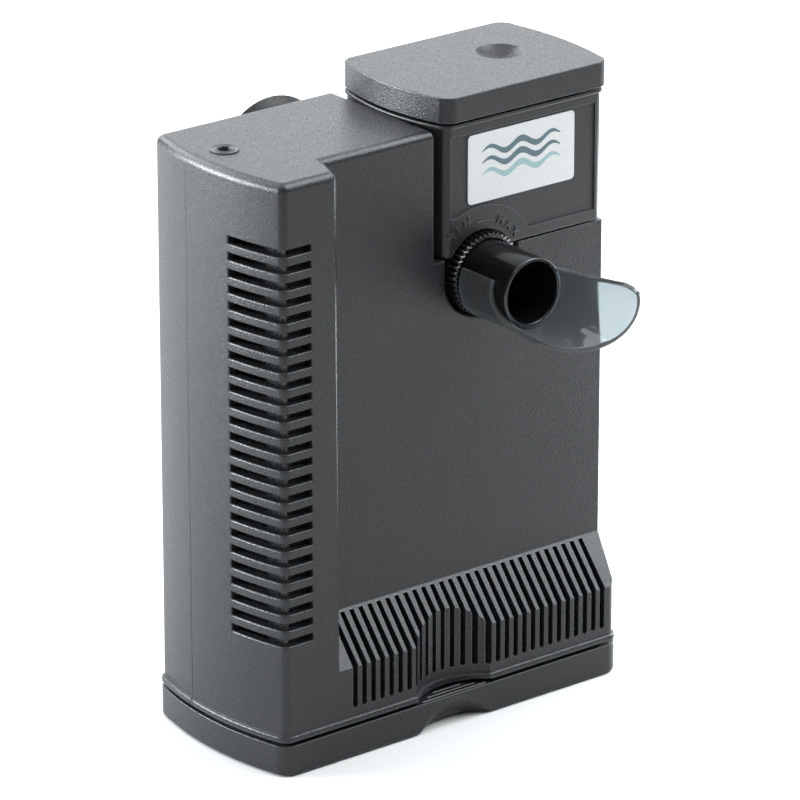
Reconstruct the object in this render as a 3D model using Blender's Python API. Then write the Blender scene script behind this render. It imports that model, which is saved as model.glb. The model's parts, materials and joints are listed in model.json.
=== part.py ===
# Internal aquarium filter: pump head with an adjustable outlet, set into a tall housing
# that draws water through foam.  Metres, +Z up, front face towards -Y.
import math
import bpy
import bmesh
from mathutils import Vector, Matrix

for old in list(bpy.data.objects):
    bpy.data.objects.remove(old, do_unlink=True)

mm = 0.001

# housing
body_half = 49.1 * mm        # half width of the flat front
body_bulge = 3.7 * mm        # how far each short side bows out
body_front = -23.8 * mm
body_back = 23.8 * mm
body_corner = 2.5 * mm
body_bottom = 8.4 * mm
body_top = 142.9 * mm
wall = 1.8 * mm
seam_y = 7.7 * mm
panel_y = -14.9 * mm         # recessed front panel
slope_top = 32.7 * mm
slope_bottom = 22.0 * mm
column_x = -33.8 * mm        # right edge of the raised column, at the front
column_lean = 3.3 * mm

# cut-out the pump head sits in
cut_x = 0.8 * mm
cut_z = 111.0 * mm

# intake openings
slot_count = 25
slot_pitch = 3.915 * mm
slot_first = 32.8 * mm
slot_height = 1.95 * mm
louvre_count = 29
louvre_pitch = 2.657 * mm
louvre_first = -29.0 * mm
louvre_width = 1.45 * mm
louvre_low = 11.8 * mm
scallop_radius = 16.5 * mm
scallop_depth = 4.4 * mm

# base cover
base_half = 49.8 * mm
base_front = -24.5 * mm
base_top = 7.4 * mm

# pump head
head_left = 4.7 * mm
head_right = 51.0 * mm
head_front = -14.9 * mm
head_back = 22.5 * mm
head_low = 111.3 * mm
head_top = 143.3 * mm
motor_x = 27.4 * mm
motor_y = 3.7 * mm
lid_low = 144.0 * mm
lid_top = 150.0 * mm

# outlet
out_x = 15.1 * mm
out_z = 106.1 * mm
tube_radius = 8.0 * mm
tube_bore = 6.4 * mm
tube_mouth = -32.6 * mm
ring_radius = 10.0 * mm
ring_back = -13.8 * mm
ring_front = -17.1 * mm

materials = {}


def material(name, color, rough, metal=0.0, alpha=1.0):
    if name in materials:
        return materials[name]
    mat = bpy.data.materials.new(name)
    mat.use_nodes = True
    shader = mat.node_tree.nodes["Principled BSDF"]
    shader.inputs["Base Color"].default_value = (color[0], color[1], color[2], 1.0)
    shader.inputs["Roughness"].default_value = rough
    shader.inputs["Metallic"].default_value = metal
    shader.inputs["Alpha"].default_value = alpha
    mat.diffuse_color = (color[0], color[1], color[2], alpha)
    materials[name] = mat
    return mat


graphite = material("graphite_plastic", (0.062, 0.064, 0.068), 0.55)
gloss_black = material("gloss_black_plastic", (0.012, 0.012, 0.014), 0.18)
smoke_clear = material("smoke_clear_plastic", (0.42, 0.45, 0.47), 0.06, 0.0, 0.45)
foam_dark = material("foam", (0.03, 0.032, 0.035), 0.95)
rubber_black = material("black_rubber", (0.02, 0.02, 0.021), 0.6)
silver_label = material("label_film", (0.72, 0.74, 0.75), 0.35)
steel = material("lamination_steel", (0.33, 0.33, 0.34), 0.42, 0.9)
copper = material("copper_winding", (0.62, 0.29, 0.15), 0.38, 0.8)
ceramic = material("ceramic", (0.86, 0.85, 0.82), 0.25)
ferrite = material("ferrite", (0.09, 0.09, 0.095), 0.5)
blue_plastic = material("impeller_plastic", (0.05, 0.16, 0.42), 0.35)
nylon_white = material("nylon", (0.74, 0.73, 0.70), 0.45)


def side_points(chord, bulge, front, back, radius, corner_steps, side_steps):
    """Left side of a bow-sided plan, from the front corner round to the back one, chord > 0 to the left."""
    depth = back - front
    big = (depth * depth / 4 + bulge * bulge) / (2 * bulge)
    cx = chord + bulge - big
    cy = (front + back) / 2
    fy = front + radius
    fx = cx + math.sqrt((big - radius) ** 2 - (fy - cy) ** 2)
    tangent = math.atan2(fy - cy, fx - cx)
    pts = []
    for i in range(corner_steps):
        t = -math.pi / 2 + (tangent + math.pi / 2) * i / corner_steps
        pts.append((fx + radius * math.cos(t), fy + radius * math.sin(t)))
    for i in range(side_steps + 1):
        t = tangent - 2 * tangent * i / side_steps
        pts.append((cx + big * math.cos(t), cy + big * math.sin(t)))
    for i in range(1, corner_steps + 1):
        t = -tangent + (math.pi / 2 + tangent) * i / corner_steps
        pts.append((fx + radius * math.cos(t), 2 * cy - fy + radius * math.sin(t)))
    return pts


def bowed(left, right, left_bulge, right_bulge, front, back, radius, corner_steps=3, side_steps=6):
    mid = (left + right) / 2
    half = (right - left) / 2
    right_pts = side_points(half, right_bulge, front, back, radius, corner_steps, side_steps)
    left_pts = side_points(half, left_bulge, front, back, radius, corner_steps, side_steps)
    pts = [(mid + x, y) for x, y in right_pts]
    pts += [(mid - x, y) for x, y in reversed(left_pts)]
    return pts


def body_plan(inset, corner_steps=3):
    radius = max(body_corner - inset, 0.5 * mm)
    return bowed(-body_half + inset, body_half - inset, body_bulge, body_bulge,
                 body_front + inset, body_back - inset, radius, corner_steps)


def loft(sections, axis=2, closed=False):
    """Closed solid through sections, each (level, [(u, v), ...]); axis is the level's axis."""
    bm = bmesh.new()
    rings = []
    for level, pts in sections:
        ring = []
        for u, v in pts:
            if axis == 2:
                co = (u, v, level)
            elif axis == 1:
                co = (u, level, v)
            else:
                co = (level, u, v)
            ring.append(bm.verts.new(co))
        rings.append(ring)
    count = len(rings[0])
    pairs = list(zip(rings, rings[1:]))
    if closed:
        pairs.append((rings[-1], rings[0]))
    for a, b in pairs:
        for i in range(count):
            j = (i + 1) % count
            bm.faces.new((a[i], a[j], b[j], b[i]))
    if not closed:
        bm.faces.new(rings[0])
        bm.faces.new(rings[-1])
    bmesh.ops.recalc_face_normals(bm, faces=bm.faces)
    return bm


def prism(pts, low, high, axis=2):
    return loft([(low, pts), (high, pts)], axis)


def box(x0, x1, y0, y1, z0, z1):
    return prism([(x0, y0), (x1, y0), (x1, y1), (x0, y1)], z0, z1)


def circle(cu, cv, radius, steps, start=0.0):
    pts = []
    for i in range(steps):
        t = start + 2 * math.pi * i / steps
        pts.append((cu + radius * math.cos(t), cv + radius * math.sin(t)))
    return pts


def rod(axis, cu, cv, radius, low, high, steps=32, end_radius=None):
    if end_radius is None:
        end_radius = radius
    return loft([(low, circle(cu, cv, radius, steps)), (high, circle(cu, cv, end_radius, steps))], axis)


def turned(axis, cu, cv, profile, steps=32):
    """Ring of revolution: profile is a closed loop of (radius, level), every radius above zero."""
    return loft_ring(axis, cu, cv, profile, steps)


def loft_ring(axis, cu, cv, profile, steps):
    bm = bmesh.new()
    rings = []
    for i in range(steps):
        t = 2 * math.pi * i / steps
        ring = []
        for radius, level in profile:
            u = cu + radius * math.cos(t)
            v = cv + radius * math.sin(t)
            if axis == 2:
                co = (u, v, level)
            elif axis == 1:
                co = (u, level, v)
            else:
                co = (level, u, v)
            ring.append(bm.verts.new(co))
        rings.append(ring)
    count = len(profile)
    for k in range(steps):
        a = rings[k]
        b = rings[(k + 1) % steps]
        for i in range(count):
            j = (i + 1) % count
            bm.faces.new((a[i], a[j], b[j], b[i]))
    bmesh.ops.recalc_face_normals(bm, faces=bm.faces)
    return bm


def joined(parts):
    """One mesh from several separate shapes, used as one cutter."""
    out = bmesh.new()
    for part in parts:
        mesh = bpy.data.meshes.new("piece")
        part.to_mesh(mesh)
        part.free()
        out.from_mesh(mesh)
        bpy.data.meshes.remove(mesh)
    return out


def temp_object(bm):
    mesh = bpy.data.meshes.new("temp")
    bm.to_mesh(mesh)
    bm.free()
    ob = bpy.data.objects.new("temp", mesh)
    bpy.context.scene.collection.objects.link(ob)
    return ob


def combine(base, tool, how):
    target = temp_object(base)
    other = temp_object(tool)
    mod = target.modifiers.new("combine", "BOOLEAN")
    mod.operation = how
    mod.solver = "EXACT"
    mod.object = other
    graph = bpy.context.evaluated_depsgraph_get()
    mesh = bpy.data.meshes.new_from_object(target.evaluated_get(graph))
    out = bmesh.new()
    out.from_mesh(mesh)
    bpy.data.meshes.remove(mesh)
    for ob in (target, other):
        data = ob.data
        bpy.data.objects.remove(ob, do_unlink=True)
        bpy.data.meshes.remove(data)
    bmesh.ops.remove_doubles(out, verts=out.verts, dist=0.002 * mm)
    bmesh.ops.dissolve_degenerate(out, edges=out.edges, dist=0.001 * mm)
    return out


def cut(base, tools):
    return combine(base, joined(tools), "DIFFERENCE")


def add(base, tool):
    return combine(base, tool, "UNION")


def keep(base, tool):
    return combine(base, tool, "INTERSECT")


def piece(name, bm, mat, smooth=False, pivot=(0.0, 0.0, 0.0)):
    centre = Vector(pivot)
    bmesh.ops.translate(bm, verts=bm.verts, vec=-centre)
    mesh = bpy.data.meshes.new(name)
    bm.to_mesh(mesh)
    bm.free()
    mesh.materials.append(mat)
    ob = bpy.data.objects.new(name, mesh)
    ob.location = centre
    bpy.context.scene.collection.objects.link(ob)
    if smooth:
        for poly in mesh.polygons:
            poly.use_smooth = True
    return ob


# ---- housing shell -------------------------------------------------------------------

def lean_prism(profile, shift):
    """Prism over X from the column's leaning edge to beyond the right side; profile is (y, z)."""
    bm = bmesh.new()
    left = []
    right = []
    for y, z in profile:
        x = column_x + (y - body_front) * column_lean / (panel_y - body_front) + shift
        left.append(bm.verts.new((x, y, z)))
        right.append(bm.verts.new((80 * mm, y, z)))
    n = len(profile)
    for i in range(n):
        j = (i + 1) % n
        bm.faces.new((left[i], left[j], right[j], right[i]))
    bm.faces.new(left)
    bm.faces.new(right)
    bmesh.ops.recalc_face_normals(bm, faces=bm.faces)
    return bm


rise = (slope_top - slope_bottom) / (panel_y - body_front)
far_y = -60 * mm
recess_out = [(far_y, 170 * mm), (panel_y, 170 * mm), (panel_y, slope_top),
              (far_y, slope_top + (far_y - panel_y) * rise)]
inner_panel = panel_y + wall
length = math.hypot(1.0, rise)
drop = wall * length - wall * rise
recess_in = [(far_y, 170 * mm), (inner_panel, 170 * mm), (inner_panel, slope_top - drop),
             (far_y, slope_top - drop + (far_y - inner_panel) * rise)]

outer = loft([
    (body_bottom, body_plan(-0.6 * mm)),
    (body_bottom + 1.0 * mm, body_plan(-0.6 * mm)),
    (body_bottom + 1.6 * mm, body_plan(0.0)),
    (body_top - 1.8 * mm, body_plan(0.0)),
    (body_top - 0.6 * mm, body_plan(0.5 * mm)),
    (body_top, body_plan(1.6 * mm)),
])
scallop_y = body_front - scallop_radius + scallop_depth
outer = cut(outer, [lean_prism(recess_out, 0.0)])
outer = cut(outer, [box(cut_x, 80 * mm, -60 * mm, 60 * mm, cut_z, 170 * mm)])
outer = cut(outer, [rod(2, 0.0, scallop_y, scallop_radius, -5 * mm, 60 * mm, 40)])

inner = prism(body_plan(wall), 5 * mm, body_top - wall)
inner = cut(inner, [lean_prism(recess_in, -wall)])
inner = cut(inner, [box(cut_x - wall, 80 * mm, -60 * mm, 60 * mm, cut_z - wall, 170 * mm)])
inner = cut(inner, [rod(2, 0.0, scallop_y, scallop_radius + wall, -8 * mm, 64 * mm, 40)])
shell = cut(outer, [inner])

# way down for the pump's lower body, and the pocket round the outlet
shell = cut(shell, [rod(2, motor_x, motor_y, 16.5 * mm, cut_z - 5 * mm, cut_z + 5 * mm, 40)])
pocket = [(out_x - 10.3 * mm, out_z), (out_x - 10.3 * mm, cut_z + 5 * mm), (out_x + 10.3 * mm, cut_z + 5 * mm),
          (out_x + 10.3 * mm, out_z)]
for i in range(1, 16):
    t = -math.pi * i / 16
    pocket.append((out_x + 10.3 * mm * math.cos(t), out_z + 10.3 * mm * math.sin(t)))
shell = cut(shell, [prism(pocket, -30 * mm, motor_y, 1)])
wide = [(out_x + (u - out_x) * 1.155, out_z + (v - out_z) * 1.155) for u, v in pocket]
shell = cut(shell, [loft([(-17.0 * mm, [(out_x + (u - out_x) * 1.35, out_z + (v - out_z) * 1.35) for u, v in pocket]),
                          (-14.9 * mm, wide), (-13.4 * mm, pocket)], 1)])

# intake slots round the front-left corner
slots = []
for i in range(slot_count):
    z = slot_first + slot_pitch * i
    slots.append(box(-60 * mm, -41.2 * mm, -40 * mm, -7.6 * mm, z - slot_height / 2, z + slot_height / 2))
core = box(-46.0 * mm, -30 * mm, -21.0 * mm, 5 * mm, 20 * mm, 138 * mm)
slot_tool = cut(joined(slots), [core])
shell = combine(shell, slot_tool, "DIFFERENCE")

# upright louvres across the foot
louvres = []
for i in range(louvre_count):
    x = louvre_first + louvre_pitch * i
    half = louvre_width / 2
    outline = [(x - half, slope_top - 0.5 * mm), (x - half, louvre_low + half), (x - half * 0.5, louvre_low + half * 0.2),
               (x + half * 0.5, louvre_low + half * 0.2), (x + half, louvre_low + half), (x + half, slope_top - 0.5 * mm)]
    louvres.append(prism(outline, -40 * mm, inner_panel + 0.2 * mm, 1))
shell = cut(shell, louvres)

# socket hole in the roof
shell = cut(shell, [rod(2, -43.8 * mm, 4.6 * mm, 2.6 * mm, 130 * mm, 150 * mm, 20)])

rear_zone = box(-80 * mm, 80 * mm, seam_y, 60 * mm, -5 * mm, body_top - 2.0 * mm)
gap = 0.2 * mm
rear_part = box(-80 * mm, 80 * mm, seam_y + gap, 60 * mm, -5 * mm, body_top - 2.0 * mm - gap)
front_shell = combine(shell.copy(), rear_zone, "DIFFERENCE")
rear_shell = combine(shell, rear_part, "INTERSECT")

# sockets for the suction cups on the rear wall
cups = [(-5.6 * mm, 123.8 * mm), (-20.0 * mm, 26.0 * mm), (20.0 * mm, 26.0 * mm)]
for x, z in cups:
    rear_shell = add(rear_shell, rod(1, x, z, 5.0 * mm, body_back - 1.0 * mm, body_back + 2.0 * mm, 28))
rear_shell = cut(rear_shell, [rod(1, x, z, 3.0 * mm, 15 * mm, 40 * mm, 24) for x, z in cups])
piece("front_casing", front_shell, graphite)
piece("rear_casing", rear_shell, graphite)

# shelf under the pump head and the wall beside it
divider = box(-1.4 * mm, 46.5 * mm, -12.6 * mm, 21.6 * mm, 91.6 * mm, 93.2 * mm)
divider = add(divider, box(-1.4 * mm, 0.2 * mm, -12.6 * mm, 21.6 * mm, 92.0 * mm, 108.9 * mm))
divider = cut(divider, [rod(2, motor_x, motor_y, 8.2 * mm, 80 * mm, 100 * mm, 28)])
piece("chamber_divider", divider, graphite)

strainer = rod(2, motor_x, motor_y, 7.9 * mm, 91.7 * mm, 93.0 * mm, 28)
holes = [rod(2, motor_x, motor_y, 1.5 * mm, 88 * mm, 95 * mm, 10)]
for i in range(6):
    t = math.pi * i / 3
    holes.append(rod(2, motor_x + 4.9 * mm * math.cos(t), motor_y + 4.9 * mm * math.sin(t), 1.5 * mm, 88 * mm, 95 * mm, 10))
strainer = cut(strainer, holes)
piece("inlet_strainer", strainer, nylon_white)

socket = turned(2, -43.8 * mm, 4.6 * mm, [
    (1.8 * mm, 138.2 * mm), (2.5 * mm, 138.2 * mm), (2.5 * mm, body_top + 0.05 * mm), (3.6 * mm, body_top + 0.05 * mm),
    (3.6 * mm, body_top + 0.5 * mm), (3.3 * mm, body_top + 0.8 * mm), (1.8 * mm, body_top + 0.8 * mm)], 24)
piece("accessory_socket", socket, graphite, True)

cup_names = ["suction_cup_top", "suction_cup_left", "suction_cup_right"]
for name, (x, z) in zip(cup_names, cups):
    rubber = bmesh.new()
    profile = [(0.0, 20.1), (3.6, 20.1), (4.2, 20.8), (3.9, 21.7), (2.7, 21.8), (2.7, 26.1), (4.6, 26.4), (5.6, 29.0),
               (9.5, 31.6), (13.6, 35.2), (15.0, 37.5), (13.4, 36.6), (9.0, 33.6), (4.0, 32.0), (0.0, 31.6)]
    rings = []
    for r, y in profile:
        if r == 0.0:
            rings.append([rubber.verts.new((x, y * mm, z))])
        else:
            rings.append([rubber.verts.new((u, y * mm, v)) for u, v in circle(x, z, r * mm, 22)])
    for a, b in zip(rings, rings[1:]):
        for i in range(22):
            j = (i + 1) % 22
            if len(a) == 1:
                rubber.faces.new((a[0], b[i], b[j]))
            elif len(b) == 1:
                rubber.faces.new((a[i], a[j], b[0]))
            else:
                rubber.faces.new((a[i], a[j], b[j], b[i]))
    bmesh.ops.recalc_face_normals(rubber, faces=rubber.faces)
    piece(name, rubber, rubber_black, True)

# ---- base cover and foam ---------------------------------------------------------------

def base_plan(inset):
    return bowed(-base_half + inset, base_half - inset, body_bulge, body_bulge,
                 base_front + inset, -base_front - inset, 3.0 * mm - min(inset, 2.4 * mm))


base = loft([(0.0, base_plan(1.0 * mm)), (1.0 * mm, base_plan(0.0)), (base_top, base_plan(0.0))])
base = cut(base, [prism(base_plan(4.4 * mm), 2.0 * mm, 20 * mm)])
rim_out = body_plan(wall + 0.4 * mm)
rim = loft([(1.0 * mm, rim_out), (13.0 * mm, rim_out)])
rim = cut(rim, [prism(body_plan(wall + 2.0 * mm), -5 * mm, 20 * mm)])
base = add(base, rim)
base = cut(base, [rod(2, 0.0, scallop_y, scallop_radius + wall + 0.5 * mm, base_top, 30 * mm, 40)])
arc_x = scallop_radius * math.sin(math.acos((scallop_radius - scallop_depth) / scallop_radius))
low_pts = [(arc_x, -40 * mm), (-arc_x, -40 * mm)]
top_pts = [(arc_x, -40 * mm), (-arc_x, -40 * mm)]
for i in range(13):
    x = -arc_x + 2 * arc_x * i / 12
    low_pts.append((x, base_front + math.sqrt(scallop_radius ** 2 - x * x) - scallop_radius + scallop_depth + 0.01 * mm))
    top_pts.append((x, base_front + 0.02 * mm + 0.0005 * mm * (i % 2)))
base = cut(base, [loft([(-1.0 * mm, low_pts), (0.2 * mm, low_pts), (base_top - 0.8 * mm, top_pts)])])
ribs = []
for y, half in ((-23.9, 9.6), (-22.5, 7.2), (-21.1, 4.4)):
    ribs.append(box(-half * mm, half * mm, (y - 0.3) * mm, (y + 0.3) * mm, base_top - 0.3 * mm, base_top + 0.5 * mm))
for rib in ribs:
    base = add(base, rib)
piece("base_cover", base, graphite)

foam_plan = bowed(-44.5 * mm, 44.5 * mm, 3.0 * mm, 3.0 * mm, -12.2 * mm, 19.6 * mm, 2.0 * mm)
piece("foam_coarse", prism(foam_plan, 14.2 * mm, 46.0 * mm), foam_dark)
piece("foam_fine", prism(foam_plan, 46.4 * mm, 90.9 * mm), foam_dark)
piece("foam_upper", box(-44.6 * mm, -2.2 * mm, -12.2 * mm, 19.6 * mm, 92.2 * mm, 137.0 * mm), foam_dark)
piece("foam_corner", box(-46.2 * mm, -36.2 * mm, -21.2 * mm, -12.7 * mm, 14.2 * mm, 139.0 * mm), foam_dark)

# ---- pump head ---------------------------------------------------------------------------

def head_plan(inset):
    return bowed(head_left + inset, head_right - inset, 3.4 * mm, 1.5 * mm,
                 head_front + inset, head_back - inset, max(1.6 * mm - inset, 0.5 * mm))


head = loft([(head_low, head_plan(0.3 * mm)), (head_low + 0.5 * mm, head_plan(0.0)), (head_top - 1.0 * mm, head_plan(0.0)),
             (head_top - 0.8 * mm, head_plan(-0.5 * mm)), (head_top, head_plan(-0.5 * mm))])
head = add(head, rod(2, motor_x, motor_y, 16.0 * mm, 97.0 * mm, 112.5 * mm, 40))
neck = cut(rod(1, out_x, out_z, 9.4 * mm, -13.5 * mm, motor_y, 36), [box(0.0, 40 * mm, -20 * mm, 20 * mm, 80 * mm, 97.0 * mm)])
head = add(head, neck)
room = bowed(head_left + 2.2 * mm, head_right - 2.2 * mm, 3.0 * mm, 1.2 * mm, -11.0 * mm, head_back - 2.0 * mm, 1.5 * mm)
well = rod(2, motor_x, motor_y, 9.6 * mm, 100 * mm, 138.6 * mm, 36)
head = cut(head, [cut(prism(room, 116.6 * mm, 160 * mm), [well])])
head = cut(head, [rod(2, motor_x, motor_y, 7.9 * mm, 90 * mm, 136.8 * mm, 36)])
head = cut(head, [rod(2, motor_x, motor_y, 14.2 * mm, 90 * mm, 110.8 * mm, 40)])
head = cut(head, [rod(1, out_x, out_z, tube_bore, -20 * mm, motor_y, 32)])
head = cut(head, [rod(1, out_x, out_z, 7.5 * mm, -20 * mm, -8.3 * mm, 32)])
head = cut(head, [rod(1, out_x, out_z, 10.35 * mm, -25 * mm, ring_back + 0.25 * mm, 40)])
# shallow panel on the face, kept clear of the raised scale round the outlet
panel = prism([(6.9 * mm, 121.9 * mm), (6.9 * mm, 140.2 * mm), (48.4 * mm, 140.2 * mm), (48.4 * mm, 114.4 * mm),
               (28.0 * mm, 114.4 * mm), (26.2 * mm, 117.6 * mm), (23.4 * mm, 120.1 * mm), (19.6 * mm, 121.8 * mm),
               (15.1 * mm, 122.5 * mm), (11.0 * mm, 122.0 * mm)], -20 * mm, head_front + 0.4 * mm, 1)
head = cut(head, [panel])
head = cut(head, [rod(1, 42.6 * mm, 130.0 * mm, 3.3 * mm, 15 * mm, 30 * mm, 24)])
piece("pump_case", head, graphite)

label = prism([(11.1 * mm, 122.9 * mm), (42.8 * mm, 122.9 * mm), (42.8 * mm, 139.6 * mm), (11.1 * mm, 139.6 * mm)],
              head_front + 0.12 * mm, head_front + 0.36 * mm, 1)
piece("label_plate", label, silver_label)

cover_profile = [(6.0 * mm, 94.0 * mm), (15.6 * mm, 94.0 * mm), (15.9 * mm, 94.3 * mm), (15.9 * mm, 95.4 * mm),
                 (13.9 * mm, 95.4 * mm), (13.9 * mm, 98.0 * mm), (12.6 * mm, 98.0 * mm), (12.6 * mm, 95.9 * mm),
                 (6.0 * mm, 95.9 * mm)]
cover = turned(2, motor_x, motor_y, cover_profile, 28)
cover = add(cover, turned(2, motor_x, motor_y, [(2.7 * mm, 94.2 * mm), (4.1 * mm, 94.2 * mm), (4.1 * mm, 97.2 * mm),
                                              (2.7 * mm, 97.2 * mm)], 24))
spokes = []
for i in range(3):
    spoke = box(3.6 * mm, 6.5 * mm, -0.7 * mm, 0.7 * mm, 94.3 * mm, 95.6 * mm)
    bmesh.ops.rotate(spoke, verts=spoke.verts, cent=(0, 0, 0), matrix=Matrix.Rotation(2 * math.pi * i / 3 + 0.3, 3, "Z"))
    bmesh.ops.translate(spoke, verts=spoke.verts, vec=(motor_x, motor_y, 0))
    cover = add(cover, spoke)
piece("impeller_cover", cover, graphite)

seal_profile = [(14.85 * mm + 0.68 * mm * math.cos(t), 96.2 * mm + 0.68 * mm * math.sin(t))
                for t in [2 * math.pi * k / 6 for k in range(6)]]
piece("cover_seal", turned(2, motor_x, motor_y, seal_profile, 26), rubber_black, True)

# motor: laminated core round the well, bobbin and winding on its back limb
core_out = [(-15.5, -6.0), (-15.5, 15.6), (15.5, 15.6), (15.5, -6.0)]
core_pts = [(motor_x + u * mm, motor_y + v * mm) for u, v in core_out]
arch = []
for i in range(17):
    t = math.pi * i / 16
    arch.append((motor_x + 9.9 * mm * math.cos(t), motor_y + 9.9 * mm * math.sin(t)))
core_pts += [(motor_x + 9.9 * mm, motor_y - 6.0 * mm)] + arch + [(motor_x - 9.9 * mm, motor_y - 6.0 * mm)]
piece("stator_core", prism(core_pts, 118.0 * mm, 127.0 * mm), steel)
bobbin = box(motor_x - 9.0 * mm, motor_x + 9.0 * mm, motor_y + 10.2 * mm, motor_y + 16.4 * mm, 127.3 * mm, 128.3 * mm)
bobbin = add(bobbin, box(motor_x - 5.4 * mm, motor_x + 5.4 * mm, motor_y + 11.2 * mm, motor_y + 15.2 * mm, 127.8 * mm, 135.0 * mm))
bobbin = add(bobbin, box(motor_x - 9.0 * mm, motor_x + 9.0 * mm, motor_y + 10.2 * mm, motor_y + 16.4 * mm, 134.6 * mm, 135.6 * mm))
piece("coil_bobbin", bobbin, nylon_white)
coil = box(motor_x - 8.6 * mm, motor_x + 8.6 * mm, motor_y + 10.3 * mm, motor_y + 16.2 * mm, 128.5 * mm, 134.4 * mm)
coil = cut(coil, [box(motor_x - 5.6 * mm, motor_x + 5.6 * mm, motor_y + 11.0 * mm, motor_y + 15.4 * mm, 120 * mm, 140 * mm)])
piece("coil_winding", coil, copper)
piece("motor_cover", prism(bowed(head_left + 2.6 * mm, head_right - 2.6 * mm, 2.9 * mm, 1.1 * mm, -10.6 * mm,
                                 head_back - 2.4 * mm, 1.3 * mm), 139.0 * mm, 140.6 * mm), graphite)

piece("motor_shaft", rod(2, motor_x, motor_y, 1.5 * mm, 94.6 * mm, 136.4 * mm, 24), ceramic, True)
piece("lower_bush", turned(2, motor_x, motor_y, [(1.55 * mm, 94.4 * mm), (2.65 * mm, 94.4 * mm), (2.65 * mm, 97.0 * mm),
                                                (1.55 * mm, 97.0 * mm)], 24), rubber_black, True)
piece("upper_bush", turned(2, motor_x, motor_y, [(1.55 * mm, 134.9 * mm), (7.75 * mm, 134.9 * mm), (7.75 * mm, 136.6 * mm),
                                                (1.55 * mm, 136.6 * mm)], 24), rubber_black, True)

gland = turned(1, 42.6 * mm, 130.0 * mm, [
    (1.6 * mm, 19.7 * mm), (3.2 * mm, 19.7 * mm), (3.2 * mm, 22.6 * mm), (4.6 * mm, 22.6 * mm), (4.6 * mm, 24.4 * mm),
    (3.6 * mm, 24.8 * mm), (3.2 * mm, 26.0 * mm), (3.6 * mm, 26.4 * mm), (3.0 * mm, 28.0 * mm), (2.4 * mm, 31.0 * mm),
    (1.6 * mm, 31.0 * mm)], 24)
piece("cable_gland", gland, rubber_black, True)

# outlet tube with a fixed half web; the shutter behind it turns with the ring
tube = turned(1, out_x, out_z, [
    (tube_bore, -8.6 * mm), (7.35 * mm, -8.6 * mm), (7.35 * mm, -13.55 * mm), (tube_radius, -13.65 * mm),
    (tube_radius, tube_mouth + 0.4 * mm), (tube_radius - 0.4 * mm, tube_mouth), (tube_bore + 0.3 * mm, tube_mouth),
    (tube_bore, tube_mouth + 0.4 * mm)], 40)
web = []
for i in range(13):
    t = math.pi + math.pi * i / 12
    web.append((out_x + 6.9 * mm * math.cos(t), out_z + 6.9 * mm * math.sin(t)))
tube = add(tube, prism(web, -14.4 * mm, -13.8 * mm, 1))
window = [(out_x, out_z)]
for i in range(9):
    t = math.radians(-8 + 106 * i / 8)
    window.append((out_x + 12 * mm * math.cos(t), out_z + 12 * mm * math.sin(t)))
tube = cut(tube, [prism(window, -16.4 * mm, -14.9 * mm, 1)])
piece("outlet_tube", tube, gloss_black, True, (out_x, 0.0, out_z))

# ---- regulator -------------------------------------------------------------------------

teeth = 44
ring_sections = []
for y, tip, root in ((ring_back, ring_radius, ring_radius - 0.75 * mm), (ring_front + 0.5 * mm, 9.75 * mm, 9.1 * mm),
                     (ring_front, 9.3 * mm, 8.9 * mm)):
    pts = []
    for i in range(teeth * 2):
        t = math.pi * i / teeth
        r = tip if i % 2 == 0 else root
        pts.append((out_x + r * math.cos(t), out_z + r * math.sin(t)))
    ring_sections.append((y, pts))
ring = loft(ring_sections, 1)
ring = cut(ring, [rod(1, out_x, out_z, 8.25 * mm, -30 * mm, 0.0, 40)])
ring = cut(ring, [box(out_x + 7.6 * mm, out_x + 8.85 * mm, -16.3 * mm, -15.0 * mm, out_z - 1.1 * mm, out_z + 1.1 * mm)])
piece("regulator_ring", ring, gloss_black, False, (out_x, ring_back, out_z))

shutter = []
for i in range(13):
    t = math.radians(-90 + 180 * i / 12)
    shutter.append((out_x + 6.1 * mm * math.cos(t), out_z + 6.1 * mm * math.sin(t)))
plate = prism(shutter, -16.1 * mm, -15.2 * mm, 1)
plate = add(plate, box(out_x + 5.0 * mm, out_x + 8.75 * mm, -16.1 * mm, -15.2 * mm, out_z - 0.9 * mm, out_z + 0.9 * mm))
piece("regulator_shutter", plate, gloss_black, False, (out_x, ring_back, out_z))

# ---- rotor -------------------------------------------------------------------------------

magnet = turned(2, motor_x, motor_y, [(2.5 * mm, 113.6 * mm), (7.0 * mm, 113.6 * mm), (7.2 * mm, 113.9 * mm),
                                      (7.2 * mm, 133.9 * mm), (7.0 * mm, 134.2 * mm), (2.5 * mm, 134.2 * mm)], 32)
piece("rotor_magnet", magnet, ferrite, True, (motor_x, motor_y, 113.6 * mm))
wheel = turned(2, motor_x, motor_y, [(1.56 * mm, 99.4 * mm), (3.6 * mm, 99.4 * mm), (3.6 * mm, 108.6 * mm),
                                     (12.0 * mm, 108.6 * mm), (12.0 * mm, 109.8 * mm), (2.4 * mm, 109.8 * mm),
                                     (2.4 * mm, 134.2 * mm), (1.56 * mm, 134.2 * mm)], 24)
for i in range(6):
    blade = box(3.2 * mm, 11.9 * mm, -0.55 * mm, 0.55 * mm, 100.4 * mm, 109.0 * mm)
    bmesh.ops.rotate(blade, verts=blade.verts, cent=(0, 0, 0), matrix=Matrix.Rotation(math.pi * i / 3 + 0.13, 3, "Z"))
    bmesh.ops.translate(blade, verts=blade.verts, vec=(motor_x, motor_y, 0))
    wheel = add(wheel, blade)
piece("impeller", wheel, blue_plastic, False, (motor_x, motor_y, 99.4 * mm))

# ---- deflector ----------------------------------------------------------------------------

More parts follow.
